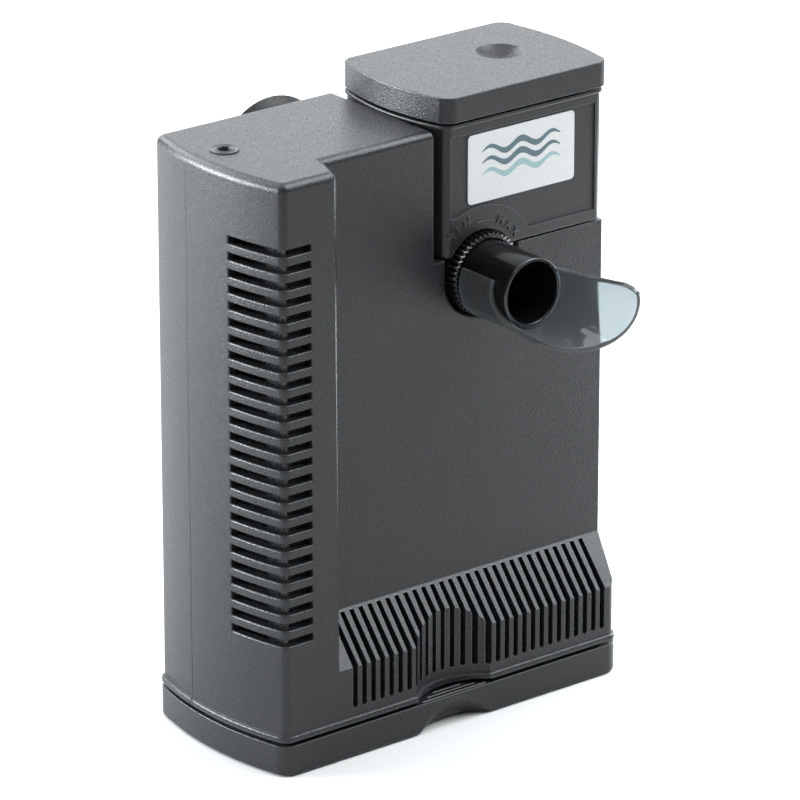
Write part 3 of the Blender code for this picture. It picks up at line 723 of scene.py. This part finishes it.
louvreLook = {
    "count": 29,
    "pitch": 2.657 * mm,
    "first": -29.0 * mm,
    "width": 1.3 * mm,
    "low": 11.8 * mm,
    "ease": 0.25 * mm,
    "footClear": 0.62 * mm,     # edges lower than this stay sharp inside the dent
}
bodyFront = casingLow[1]
bodyBack = -bodyFront
bodyTop = casingHigh[2]
bodyBottom = casingLow[2]
bodyHalf = casingHigh[0] - casingLook["bow"] - casingLook["beadOut"]
bodyPlan = {"left": -bodyHalf, "right": bodyHalf, "leftBow": casingLook["bow"], "rightBow": casingLook["bow"],
            "front": bodyFront + casingLook["beadOut"], "back": bodyBack - casingLook["beadOut"],
            "corner": casingLook["corner"]}
dentY = bodyPlan["front"] - casingLook["dentRadius"] + casingLook["dentDepth"]


def sideReach(y, extra=0.0):
    # half width of the housing at a depth y
    t = y / bodyPlan["back"]
    return bodyHalf + casingLook["bow"] * (1.0 - t * t) + extra


def onSkin(co, deep):
    return abs(co.x) > sideReach(co.y) - deep or co.y < bodyPlan["front"] + deep


def recessTool(look, shift):
    # the panel's room in front, with the leaning edge on its left and the slope under it
    depth = look["panelY"] - bodyPlan["front"]
    rise = (look["slopeTop"] - look["slopeBottom"]) / depth
    length = math.hypot(1.0, rise)
    panel = look["panelY"] + shift
    drop = shift * length - shift * rise
    bm = bmesh.new()
    bmesh.ops.create_cube(bm, size=1.0)
    for v in bm.verts:
        y = panel if v.co.y > 0 else -past
        slope = look["slopeTop"] - drop + (y - panel) * rise
        lean = look["columnX"] + (y - bodyPlan["front"]) * look["columnLean"] / depth
        v.co = (wide if v.co.x > 0 else lean - shift, y, tall if v.co.z > 0 else slope)
    return bm


def housingSkin(look):
    bm = bowedBlock(bodyPlan, bodyBottom, bodyTop)
    bm = cut(bm, recessTool(look, 0.0))
    bm = cut(bm, block(look["cutX"], wide, -past, past, look["cutZ"], tall))

    def roofWeight(edge):
        a, b = (v.co for v in edge.verts)
        high = a.z > bodyTop - fuzz and b.z > bodyTop - fuzz
        if high and edge.calc_face_angle(0.0) > 0.5:
            if a.x > look["cutX"] - fuzz and b.x > look["cutX"] - fuzz:
                return 0.25
            return 1.0
        column = abs(a.x - look["columnX"]) < 5 * fuzz and abs(b.x - look["columnX"]) < 5 * fuzz
        if column and abs(a.y - b.y) < fuzz and abs(a.z - b.z) > 50 * mm:
            return 0.5
        return 0.0

    bm = eased(bm, look["roofRound"], 6, roofWeight)
    bead = bowedBlock(inset(bodyPlan, -look["beadOut"]), bodyBottom, bodyBottom + look["beadHeight"])
    bead = eased(bead, look["beadRound"], 3, bothEnds(lambda co: co.z > bodyBottom + 1 * mm))
    bead = cut(bead, drum("Z", 0.0, dentY, look["dentRadius"] - look["beadOut"], -5 * mm, 60 * mm, 96))
    bm = cut(bm, drum("Z", 0.0, dentY, look["dentRadius"], -5 * mm, 60 * mm, 96))
    bm = add(bm, bead)

    hollow = bowedBlock(inset(bodyPlan, look["wall"]), 5 * mm, bodyTop - look["wall"])
    hollow = cut(hollow, recessTool(look, look["wall"]))
    hollow = cut(hollow, block(look["cutX"] - look["wall"], wide, -past, past,
                               look["cutZ"] - look["wall"], tall))
    hollow = cut(hollow, drum("Z", 0.0, dentY, look["dentRadius"] + look["wall"], -8 * mm, 64 * mm, 64))
    bm = cut(bm, hollow)
    bm = cut(bm, drum("Z", look["wellX"], look["wellY"], look["wellRadius"], look["cutZ"] - 5 * mm,
                      look["cutZ"] + 5 * mm))
    half = look["pocketRadius"]
    pocket = drum("Y", outletX, outletZ, half, -30 * mm, look["wellY"], 96)
    above = block(outletX - half, outletX + half, -30 * mm, look["wellY"], outletZ, outletZ + 20 * mm)
    return cut(bm, add(pocket, above))


def pocketWeight(edge):
    # the rim of the pocket on the panel's face
    a, b = (v.co for v in edge.verts)
    onPanel = abs(a.y - casingLook["panelY"]) < 2 * fuzz and abs(b.y - casingLook["panelY"]) < 2 * fuzz
    if not onPanel or edge.calc_face_angle(0.0) < 0.5:
        return 0.0
    reach = casingLook["pocketRadius"] + 0.1 * mm
    near = all(math.hypot(co.x - outletX, min(co.z - outletZ, 0.0)) < reach for co in (a, b))
    if near and min(a.z, b.z) > casingLook["slopeTop"] + 40 * mm:
        return 1.0
    return 0.0


def cutSlots(bm, look):
    tools = []
    for i in range(look["count"]):
        z = look["first"] + look["pitch"] * i
        half = look["height"] / 2
        tools.append(block(-past, look["frontEnd"], -40 * mm, look["sideEnd"], z - half, z + half))
    bm = cut(bm, *tools)
    low = look["first"] - look["pitch"]
    high = look["first"] + look["pitch"] * look["count"]

    def weight(edge):
        a, b = (v.co for v in edge.verts)
        for co in (a, b):
            if not low < co.z < high or not onSkin(co, look["skin"]):
                return 0.0
            if co.x > look["frontEnd"] + 0.1 * mm or co.y > look["sideEnd"] + 0.1 * mm:
                return 0.0
        return 1.0 if edge.calc_face_angle(0.0) > 0.6 else 0.0

    return eased(bm, look["ease"], 3, weight, clamp=False)


def cutLouvres(bm, look, casing):
    tools = []
    for i in range(look["count"]):
        x = look["first"] + look["pitch"] * i
        half = look["width"] / 2
        tool = block(x - half, x + half, -40 * mm, casing["panelY"] + casing["wall"] + 0.2 * mm, look["low"],
                     casing["slopeTop"] - 0.5 * mm)
        foot = [e for e in tool.edges if all(v.co.z < look["low"] + fuzz for v in e.verts)
                and abs(e.verts[0].co.y - e.verts[1].co.y) > 1 * mm]
        bmesh.ops.bevel(tool, geom=foot, offset=half * 0.8, offset_type="OFFSET", affect="EDGES", segments=3,
                        profile=0.5, material=-1)
        tools.append(tool)
    bm = cut(bm, *tools)

    def weight(edge):
        if len(edge.link_faces) != 2 or edge.calc_face_angle(0.0) < 0.6:
            return 0.0
        for v in edge.verts:
            if not look["low"] - 0.5 * mm < v.co.z < casing["slopeTop"] - 0.3 * mm:
                return 0.0
            if v.co.x < look["first"] - 2 * mm:
                return 0.0
            if v.co.z < look["low"] + look["footClear"] and v.co.y > bodyPlan["front"] + 0.3 * mm:
                return 0.0
        faces = edge.link_faces
        out = any(f.normal.y < -0.3 and f.normal.z < 0.7 for f in faces)
        fin = any(abs(f.normal.x) > 0.95 or (f.normal.z > 0.2 and f.normal.y > -0.05) for f in faces)
        return 1.0 if out and fin else 0.0

    return eased(bm, look["ease"], 2, weight, clamp=False)


skin = housingSkin(casingLook)
skin = eased(skin, casingLook["pocketRound"], 4, pocketWeight, clamp=False)
rearFrom = casingLook["seamY"]
rearTop = rearHigh[2] + casingLook["seamGap"]
seam = casingLook["seamGap"]
frontZone = block(-wide, wide, rearFrom, past, -5 * mm, rearTop)
rearZone = block(-wide, wide, rearFrom + seam, past, -5 * mm, rearTop - seam)
rearSkin = keep(skin.copy(), rearZone)
frontSkin = cut(skin, frontZone)
airBore = drum("Z", casingLook["airX"], casingLook["airY"], casingLook["airHole"], 130 * mm, 150 * mm, 40)
frontSkin = cut(frontSkin, airBore)
frontSkin = cutSlots(frontSkin, slotLook)
frontSkin = cutLouvres(frontSkin, louvreLook, casingLook)


def seamWeight(edge):
    a, b = (v.co for v in edge.verts)
    if edge.calc_face_angle(0.0) < 0.8:
        return 0.0
    near = all(abs(co.y - rearFrom - seam / 2) < 0.2 * mm and abs(co.x) > sideReach(co.y) - 0.3 * mm
               for co in (a, b))
    return 1.0 if near else 0.0


seamRound = 0.15 * mm
frontSkin = eased(frontSkin, seamRound, 2, seamWeight)
finished("frontShell", frontSkin, graphite, "housing", ["front_casing"])

cupLook = {
    "places": [
        ("top", -5.6 * mm, 123.8 * mm),
        ("left", -20.0 * mm, 26.0 * mm),
        ("right", 20.0 * mm, 26.0 * mm),
    ],
    "boss": 5.0 * mm,
    "bossHigh": 2.0 * mm,
    "bossRound": 0.5 * mm,
    "bossHole": 3.0 * mm,
}
bossEnd = bodyPlan["back"] + cupLook["bossHigh"]
for cupName, x, z in cupLook["places"]:
    boss = drum("Y", x, z, cupLook["boss"], bodyPlan["back"] - 1 * mm, bossEnd, 48)
    boss = eased(boss, cupLook["bossRound"], 3, bothEnds(lambda co: co.y > bossEnd - 0.1 * mm))
    rearSkin = add(rearSkin, boss)
holes = [drum("Y", x, z, cupLook["bossHole"], 15 * mm, 40 * mm, 40) for cupName, x, z in cupLook["places"]]
rearSkin = cut(rearSkin, *holes)
rearSkin = eased(rearSkin, seamRound, 2, seamWeight)
finished("rearShell", rearSkin, graphite, "housing", ["rear_casing"])

# rubber cup, radius and depth in mm: button, neck, shoulder, thin skirt out to the lip and back inside
cupRun = [
    (0.0, 20.1), (3.3, 20.1), (3.9, 20.4), (4.2, 20.9), (4.0, 21.5), (2.8, 21.8), (2.7, 22.4), (2.7, 26.0),
    (3.4, 26.2), (4.4, 26.5), (5.0, 27.4), (5.7, 29.2), (7.2, 30.5), (9.6, 31.9), (11.9, 33.6), (14.1, 35.4),
    (15.2, 36.8), (15.6, 37.3), (15.5, 37.5), (14.8, 37.1), (12.6, 35.7), (10.6, 34.3), (8.0, 33.1),
    (4.8, 32.2), (2.0, 31.7), (0.0, 31.6),
]
for cupName, x, z in cupLook["places"]:
    cup = turned("Y", x, z, [(r * mm, y * mm) for r, y in cupRun], 72)
    finished("cup" + cupName.title(), cup, rubber, "housing", ["suction_cup_" + cupName],
             sharp=50.0, weighted=False)

# ringed socket in the roof, radius and height in mm
socketRun = [
    (1.6, 138.2), (2.5, 138.2), (2.5, 142.95), (3.3, 142.95), (3.4, 143.0), (3.4, 143.08), (3.25, 143.15),
    (3.0, 143.12), (2.85, 143.0), (2.7, 142.98), (2.5, 143.05), (2.3, 143.18), (2.0, 143.22), (1.75, 143.15),
    (1.6, 142.95), (1.6, 138.2),
]
socket = turned("Z", casingLook["airX"], casingLook["airY"], [(r * mm, z * mm) for r, z in socketRun], 64)
finished("airSocket", socket, graphite, "housing", ["accessory_socket"],
         sharp=40.0, weighted=False)
print("stage: housing")


# foam stands on the base and moves with it
spongeLook = {
    "bow": {"foam_coarse": 3.0 * mm, "foam_fine": 3.0 * mm, "foam_upper": 0.0, "foam_corner": 0.0},
    "corner": 1.6 * mm,
    "round": 0.9 * mm,
}
for foamNode, bow in spongeLook["bow"].items():
    low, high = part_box(foamNode)
    foamPlan = {"left": low[0] + bow, "right": high[0] - bow, "leftBow": bow, "rightBow": bow,
                "front": low[1], "back": high[1], "corner": spongeLook["corner"]}
    foam = bowedBlock(foamPlan, low[2], high[2], 12, 4)
    foam = eased(foam, spongeLook["round"], 3, levelEdges(0.8))
    finished(foamNode.replace("foam_", "sponge"), foam, blackFoam, "base", [foamNode], sharp=60.0)
print("stage: foam")


# base cover: a tray with a finger scoop and grip ribs
baseLook = {
    "top": 7.4 * mm,
    "corner": 3.0 * mm,
    "footRound": 1.5 * mm,
    "wall": 4.4 * mm,
    "floor": 2.0 * mm,
    "rimGap": 0.4 * mm,
    "rimWall": 1.6 * mm,
    "ribs": ((-23.9, 9.6), (-22.5, 7.2), (-21.1, 4.4)),   # depth and half length in mm
    "ribThick": 0.66 * mm,
    "ribRound": 0.28 * mm,
}
baseHalf = baseHigh[0] - casingLook["bow"]
basePlan = {"left": -baseHalf, "right": baseHalf, "leftBow": casingLook["bow"], "rightBow": casingLook["bow"],
            "front": baseLow[1], "back": baseHigh[1], "corner": baseLook["corner"]}


def baseTray(look):
    bm = bowedBlock(basePlan, 0.0, look["top"])
    # finger scoop under the front edge
    radius = casingLook["dentRadius"]
    scoop = drum("Z", 0.0, basePlan["front"] - radius + casingLook["dentDepth"], radius, -0.4 * mm,
                 look["top"] - 0.8 * mm, 128, radius - casingLook["dentDepth"] + 0.02 * mm)
    bm = cut(bm, scoop)

    def footWeight(edge):
        a, b = (v.co for v in edge.verts)
        if edge.calc_face_angle(0.0) <= 0.5:
            return 0.0
        if a.z < fuzz and b.z < fuzz:
            # half as round along the scoop
            return 1.0 if max(abs(a.x), abs(b.x)) > 11.6 * mm or max(a.y, b.y) > 0 else 0.5
        return 0.22 if a.z > look["top"] - fuzz and b.z > look["top"] - fuzz else 0.0

    bm = eased(bm, look["footRound"], 4, footWeight)
    room = bowedBlock(inset(basePlan, look["wall"]), look["floor"], 20 * mm)
    bm = cut(bm, room)
    fit = casingLook["wall"] + look["rimGap"]
    rim = bowedBlock(inset(bodyPlan, fit), 1.0 * mm, baseHigh[2])
    rim = cut(rim, bowedBlock(inset(bodyPlan, fit + look["rimWall"]), -5 * mm, 20 * mm))
    bm = add(bm, rim)
    return cut(bm, drum("Z", 0.0, dentY, radius + casingLook["wall"] + 0.5 * mm, look["top"], 30 * mm, 64))


tray = baseTray(baseLook)
finished("baseTray", tray, graphite, "base", ["base_cover"])
for number, (y, half) in enumerate(baseLook["ribs"]):
    thick = baseLook["ribThick"] / 2
    rib = block(-half * mm, half * mm, y * mm - thick, y * mm + thick, baseLook["top"] - 0.3 * mm,
                baseLook["top"] + 0.5 * mm)
    rib = eased(rib, baseLook["ribRound"], 3, lambda edge: 1.0)
    finished("gripRib" + str(number + 1), rib, graphite, "base", sharp=60.0)
print("stage: base")


# pump head: case with a sunk field for the label
headLook = {
    "left": 4.7 * mm,
    "right": 51.0 * mm,
    "leftBow": 3.4 * mm,
    "rightBow": 1.5 * mm,
    "front": -14.9 * mm,
    "back": 22.5 * mm,
    "corner": 1.6 * mm,
    "low": 111.3 * mm,
    "footRound": 0.45 * mm,
    "lip": 0.5 * mm,
    "lipHigh": 0.95 * mm,
    "lipRound": 0.3 * mm,
    "panel": (6.0 * mm, 49.0 * mm, 114.0 * mm, 140.2 * mm),     # left, right, low, high
    "panelDeep": 0.4 * mm,
    "panelRound": 0.22 * mm,
    "panelStep": 120.6 * mm,        # left of the outlet the field stops here
    "arcRadius": 16.1 * mm,
    "wall": 2.2 * mm,
    "roomFront": -11.0 * mm,
    "roomLow": 116.6 * mm,
    "chamber": {"radius": 16.0 * mm, "low": 97.0 * mm, "high": 112.5 * mm,
                "bore": 14.2 * mm, "roof": 110.8 * mm},
    "can": {"radius": 9.6 * mm, "high": 138.6 * mm, "bore": 7.9 * mm, "roof": 136.8 * mm},
    "neck": {"radius": 9.4 * mm, "front": -13.5 * mm, "bore": 6.4 * mm,
             "seat": 7.5 * mm, "seatBack": -8.3 * mm},
    "ringSeat": {"radius": 10.35 * mm, "back": -13.55 * mm},
    "gland": {"x": 42.6 * mm, "z": 130.0 * mm, "radius": 3.3 * mm},
}


def pumpShell(look):
    top = headHigh[2]
    wellX, wellY = casingLook["wellX"], casingLook["wellY"]
    chamber, can, neck = look["chamber"], look["can"], look["neck"]
    bm = bowedBlock(look, look["low"], top)
    bm = eased(bm, look["footRound"], 3, bothEnds(lambda co: co.z < look["low"] + fuzz))
    lip = bowedBlock(inset(look, -look["lip"]), top - look["lipHigh"], top)
    bm = add(bm, eased(lip, look["lipRound"], 3, levelEdges(0.5)))
    bm = add(bm, drum("Z", wellX, wellY, chamber["radius"], chamber["low"], chamber["high"], 96))
    pipe = drum("Y", outletX, outletZ, neck["radius"], neck["front"], wellY, 72)
    bm = add(bm, cut(pipe, block(0.0, 40 * mm, -20 * mm, 20 * mm, 80 * mm, chamber["low"])))
    room = inset(look, look["wall"])
    room["front"] = look["roomFront"]
    bm = cut(bm, cut(bowedBlock(room, look["roomLow"], 160 * mm),
                     drum("Z", wellX, wellY, can["radius"], 100 * mm, can["high"])))
    bm = cut(bm, drum("Z", wellX, wellY, can["bore"], 90 * mm, can["roof"]))
    bm = cut(bm, drum("Z", wellX, wellY, chamber["bore"], 90 * mm, chamber["roof"], 96))
    bm = cut(bm, drum("Y", outletX, outletZ, neck["bore"], -20 * mm, wellY))
    bm = cut(bm, drum("Y", outletX, outletZ, neck["seat"], -20 * mm, neck["seatBack"]))
    ringSeat = look["ringSeat"]
    bm = cut(bm, drum("Y", outletX, outletZ, ringSeat["radius"], -25 * mm, ringSeat["back"], 96))
    left, right, low, high = look["panel"]
    field = block(left, right, -20 * mm, look["front"] + look["panelDeep"], low, high)
    field = cut(field, drum("Y", outletX, outletZ, look["arcRadius"], -25 * mm, 0.0, 96))
    field = cut(field, block(0.0, outletX, -25 * mm, 0.0, 100 * mm, look["panelStep"]))
    bm = cut(bm, field)
    gland = look["gland"]
    bm = cut(bm, drum("Y", gland["x"], gland["z"], gland["radius"], 15 * mm, 30 * mm, 40))

    def fieldWeight(edge):
        for v in edge.verts:
            inside = left - 0.1 * mm < v.co.x < right + 0.1 * mm and low - 0.1 * mm < v.co.z < high + 0.1 * mm
            if not inside or abs(v.co.y - look["front"]) >= fuzz:
                return 0.0
        return 1.0 if edge.calc_face_angle(0.0) > 0.6 else 0.0

    return eased(bm, look["panelRound"], 3, fieldWeight)


finished("pumpShell", pumpShell(headLook), headPlastic, "pump", ["pump_case"])

# raised scale round the outlet
markLook = {
    "size": 2.7 * mm,
    "raise": 0.36 * mm,
    "round": 0.05 * mm,
    "letters": (        # angle in degrees and radius in mm
        ("M", 132, 13.6), ("I", 121, 13.6), ("N", 109, 13.6),
        ("M", 64, 12.6), ("A", 51, 12.4), ("X", 38, 12.4),
    ),
}


def scaleLetter(name, letter, angle, radius, look):
    text = bpy.data.curves.new(name, "FONT")
    text.body = letter
    text.size = look["size"]
    text.extrude = look["raise"] / 2
    text.bevel_depth = look["round"]
    text.align_x = "CENTER"
    text.align_y = "CENTER"
    ob = bpy.data.objects.new(name, text)
    scene.collection.objects.link(ob)
    bm = evaluated(ob)
    bpy.data.objects.remove(ob, do_unlink=True)
    bpy.data.curves.remove(text)
    bmesh.ops.remove_doubles(bm, verts=bm.verts, dist=0.002 * mm)
    t = math.radians(angle)
    place = Vector((outletX + radius * math.cos(t), headLook["front"], outletZ + radius * math.sin(t)))
    turn = Matrix.Rotation(-(t - math.pi / 2), 3, "Y") @ Matrix.Rotation(math.pi / 2, 3, "X")
    bmesh.ops.rotate(bm, verts=bm.verts, cent=(0, 0, 0), matrix=turn)
    bmesh.ops.translate(bm, verts=bm.verts, vec=place)
    return bm


marks = []
for number, (letter, angle, radius) in enumerate(markLook["letters"]):
    marks.append(scaleLetter("mark" + str(number), letter, angle, radius * mm, markLook))
# the line between the two words, cut from a thin ring
dashRun = [(12.1, -14.85), (12.1, -15.05), (12.3, -15.15), (12.5, -15.05), (12.5, -14.85), (12.1, -14.85)]
dash = turned("Y", outletX, outletZ, [(radius * mm, depth * mm) for radius, depth in dashRun], 120)
dash = keep(dash, block(outletX - 1.6 * mm, outletX + 3.6 * mm, -20 * mm, -10 * mm,
                        outletZ, outletZ + 20 * mm))
marks.append(dash)
finished("flowScale", joined(marks), headPlastic, "pump", sharp=40.0, weighted=False)

# label: plain film card with three printed waves
cardLook = {"corner": 1.1 * mm, "round": 0.06 * mm}
cardLow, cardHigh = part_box("label_plate")
card = block(cardLow[0], cardHigh[0], cardLow[1], cardHigh[1], cardLow[2], cardHigh[2])
uprights = [e for e in card.edges if abs(e.verts[0].co.y - e.verts[1].co.y) > 0.1 * mm]
bmesh.ops.bevel(card, geom=uprights, offset=cardLook["corner"], offset_type="OFFSET", affect="EDGES",
                segments=6, profile=0.5, material=-1)
card = eased(card, cardLook["round"], 2, bothEnds(lambda co: co.y < cardLow[1] + fuzz))
finished("labelCard", card, silverFilm, "pump", ["label_plate"])

waveLook = {
    "start": 4.2 * mm,
    "end": 27.4 * mm,
    "rise": 0.95 * mm,
    "turns": 2.5,
    "width": 0.8 * mm,
    "steps": 80,
    "proud": 0.012 * mm,
    "film": 0.02 * mm,
}


def wavePrint(name, height, paint, look):
    bm = bmesh.new()
    bmesh.ops.create_grid(bm, x_segments=look["steps"], y_segments=1, size=0.5)
    for v in bm.verts:
        along = v.co.x + 0.5
        x = cardLow[0] + look["start"] + (look["end"] - look["start"]) * along
        swing = look["rise"] * math.sin(2 * math.pi * look["turns"] * along)
        taper = math.sin(math.pi * min(max(along, 0.02), 0.98)) ** 0.5
        z = cardLow[2] + height + swing + v.co.y * 2 * look["width"] * taper
        v.co = (x, cardLow[1] - look["proud"], z)
    up = bmesh.ops.extrude_face_region(bm, geom=bm.faces[:])
    moved = [item for item in up["geom"] if isinstance(item, bmesh.types.BMVert)]
    bmesh.ops.translate(bm, verts=moved, vec=(0.0, look["film"], 0.0))
    bmesh.ops.recalc_face_normals(bm, faces=bm.faces)
    return finished(name, bm, paint, "pump", weighted=False)


wavePrint("labelWaveHigh", 12.2 * mm, darkInk, waveLook)
wavePrint("labelWaveMiddle", 9.4 * mm, darkInk, waveLook)
wavePrint("labelWaveLow", 6.6 * mm, paleInk, waveLook)
print("stage: pump head")


# outlet: tube, knurled ring, spout
tubeLook = {
    "radius": 8.3 * mm,
    "bore": 6.4 * mm,
    "flare": 7.35 * mm,         # inside at the mouth, and outside where it sits in the neck
    "mouth": tubeLow[1] - 0.8 * mm,
    "lip": 0.4 * mm,
    "collar": -13.55 * mm,
    "chamfer": 0.15 * mm,
}


def outletPipe(look):
    back = tubeHigh[1]
    mouth = look["mouth"]
    lip = look["lip"]
    run = [(look["bore"], back), (look["flare"], back), (look["flare"], look["collar"])]
    run += [(look["radius"], look["collar"] - look["chamfer"]), (look["radius"], mouth + lip + 6 * mm)]
    run += arcRun(look["radius"] - lip, mouth + lip, lip, 0, -90, 5)
    run += arcRun(look["flare"] + lip, mouth + lip, lip, 270, 180, 5)
    run += [(look["flare"], mouth + 5 * mm), (look["bore"], mouth + 8 * mm), (look["bore"], back)]
    return turned("Y", outletX, outletZ, run, 128)


finished("outletPipe", outletPipe(tubeLook), glossBlack, "pump", ["outlet_tube"],
         sharp=40.0)

ringLook = {
    "teeth": 44,
    "toothSteps": 6,
    "slant": 1.35,          # how steep a tooth's sides are
    "crest": 0.2,           # and how flat its top
    "tip": 10.0 * mm,
    "deep": 0.72 * mm,
    "back": -13.8 * mm,
    "front": -17.1 * mm,
    "bore": 8.4 * mm,
}


def knurledRing(look):
    tip, bore, back, front = look["tip"], look["bore"], look["back"], look["front"]
    run = [(bore, back), (tip, back), (tip, front + 0.55 * mm), (tip - 0.22 * mm, front + 0.2 * mm)]
    run += [(tip - 0.6 * mm, front), (bore + 0.3 * mm, front), (bore, front + 0.3 * mm), (bore, back)]
    bm = turned("Y", 0.0, 0.0, run, look["teeth"] * look["toothSteps"])
    for v in bm.verts:
        radius = math.hypot(v.co.x, v.co.z)
        if radius > bore + 0.6 * mm:
            step = math.atan2(v.co.z, v.co.x) / (2 * math.pi) * look["teeth"]
            saw = abs((step % 1.0) - 0.5) * 2.0
            sink = look["deep"] * max(0.0, min(1.0, look["slant"] * saw - look["crest"]))
            v.co.x *= (radius - sink) / radius
            v.co.z *= (radius - sink) / radius
    bmesh.ops.translate(bm, verts=bm.verts, vec=(outletX, 0.0, outletZ))
    return bm


finished("flowRing", knurledRing(ringLook), glossBlack, "regulator",
         ["regulator_ring"], sharp=28.0, weighted=False)

spoutLook = {
    # angles round the tube in degrees, depths in mm
    "wingStart": 155,
    "wingEnd": 235,
    "sweepStart": 262,
    "tip": 375,
    "rimEnd": 385,
    "wingY": -29.5,
    "wingBow": 5.5,
    "step": 8.0,
    "sweep": 13.0,
    "tipDrop": 3.5,
    "inside": 8.5 * mm,
    "back": -18.6 * mm,
    "thick": 1.3 * mm,
    "round": 0.35 * mm,
    "flareFrom": -32.0 * mm,    # in front of this the scoop opens out
    "flare": 0.10,
    "flareGrow": 2.2,
    "across": 92,
    "along": 36,
}


def spoutEdge(angle, look):
    # a wing that bows forward, a step, a quarter-ellipse sweep to the tip, and a rounded drop behind it
    wingSpan = look["wingEnd"] - look["wingStart"]
    sweepSpan = look["tip"] - look["sweepStart"]
    wingLow = look["wingY"] - look["wingBow"]
    if angle <= look["wingEnd"]:
        return (look["wingY"] - look["wingBow"] * ((angle - look["wingStart"]) / wingSpan) ** 2) * mm
    if angle <= look["sweepStart"]:
        span = look["sweepStart"] - look["wingEnd"]
        leave = span * 2 * look["wingBow"] / wingSpan
        meet = span * look["sweep"] * math.pi / 2 / sweepSpan
        s = (angle - look["wingEnd"]) / span
        fall = (3 * s ** 2 - 2 * s ** 3) * look["step"]
        fall += (s ** 3 - 2 * s ** 2 + s) * leave + (s ** 3 - s ** 2) * meet
        return (wingLow - fall) * mm
    if angle <= look["tip"]:
        turn = math.pi / 2 * (angle - look["sweepStart"]) / sweepSpan
        return (wingLow - look["step"] - look["sweep"] * math.sin(turn)) * mm
    back = (angle - look["tip"]) / (look["rimEnd"] - look["tip"])
    return (wingLow - look["step"] - look["sweep"] + look["tipDrop"] * back ** 2) * mm


def spoutScoop(look):
    bm = bmesh.new()
    bmesh.ops.create_grid(bm, x_segments=look["across"], y_segments=look["along"], size=0.5)
    first = look["wingStart"]
    last = look["rimEnd"]
    for v in bm.verts:
        angle = first + (last - first) * (v.co.x + 0.5)
        y = look["back"] + (spoutEdge(angle, look) - look["back"]) * (v.co.y + 0.5)
        beyond = max(0.0, look["flareFrom"] - y)
        radius = look["inside"] + look["flare"] * beyond + look["flareGrow"] * beyond * beyond
        t = math.radians(angle)
        v.co = (outletX + radius * math.cos(t), y, outletZ + radius * math.sin(t))
    bmesh.ops.recalc_face_normals(bm, faces=bm.faces)
    # the wall grows outwards when the faces look in
    bm.faces.ensure_lookup_table()
    middle = bm.faces[0].calc_center_median()
    if bm.faces[0].normal.dot(middle - Vector((outletX, middle.y, outletZ))) > 0:
        bmesh.ops.reverse_faces(bm, faces=bm.faces)
    ob = heldObject(bm)
    mod = ob.modifiers.new("wall", "SOLIDIFY")
    mod.thickness = look["thick"]
    mod.offset = -1.0
    mod.use_even_offset = False
    out = evaluated(ob)
    dropObject(ob)
    return eased(out, look["round"], 3, lambda edge: 1.0 if edge.calc_face_angle(0.0) > 1.0 else 0.0)


finished("spoutScoop", spoutScoop(spoutLook), smoke, "spout", ["deflector"],
         sharp=50.0, weighted=False)
print("stage: outlet")


# lid with a finger dimple and four clips
lidLow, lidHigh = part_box("lid")
lidLook = {
    "plan": {"left": 4.4 * mm, "right": 51.9 * mm, "leftBow": 3.4 * mm, "rightBow": 2.6 * mm,
             "front": lidLow[1], "back": lidHigh[1], "corner": 3.0 * mm},
    "low": 144.0 * mm,
    "topRound": 1.9 * mm,
    "wall": 1.6 * mm,
    "ceiling": 2.9 * mm,
    "clipX": (10.5 * mm, 44.5 * mm),
    "clipY": (-10.2 * mm, 18.4 * mm),
    "clipHalf": 3.0 * mm,
    "clipThick": 1.3 * mm,
    "dimple": (36.8 * mm, 5.2 * mm),
    "dimpleBall": 9.6 * mm,
    "dimpleDeep": 1.9 * mm,
    "dimpleRound": 0.6 * mm,
}


def lidShell(look):
    top = lidHigh[2]
    bm = bowedBlock(look["plan"], look["low"], top)

    def rimWeight(edge):
        a, b = (v.co for v in edge.verts)
        if abs(a.z - b.z) > fuzz or edge.calc_face_angle(0.0) < 0.5:
            return 0.0
        return 1.0 if a.z > top - fuzz else 0.22

    bm = eased(bm, look["topRound"], 6, rimWeight)
    bm = cut(bm, bowedBlock(inset(look["plan"], look["wall"]), 130 * mm, top - look["ceiling"]))
    half = look["clipHalf"]
    for x in look["clipX"]:
        for y in look["clipY"]:
            bm = add(bm, block(x - half, x + half, y, y + look["clipThick"], lidLow[2], top - 2.5 * mm))
    ball = bmesh.new()
    bmesh.ops.create_uvsphere(ball, u_segments=96, v_segments=64, radius=look["dimpleBall"])
    lift = top + look["dimpleBall"] - look["dimpleDeep"]
    bmesh.ops.translate(ball, verts=ball.verts, vec=(look["dimple"][0], look["dimple"][1], lift))
    bm = cut(bm, ball)
    x0, y0 = look["dimple"]

    def dimpleWeight(edge):
        if edge.calc_face_angle(0.0) <= 0.2:
            return 0.0
        return bothEnds(lambda co: co.z > top - fuzz and math.hypot(co.x - x0, co.y - y0) < 9 * mm)(edge)

    return eased(bm, look["dimpleRound"], 4, dimpleWeight)


finished("lidShell", lidShell(lidLook), graphite, "cap", ["lid"])
print("stage: lid")
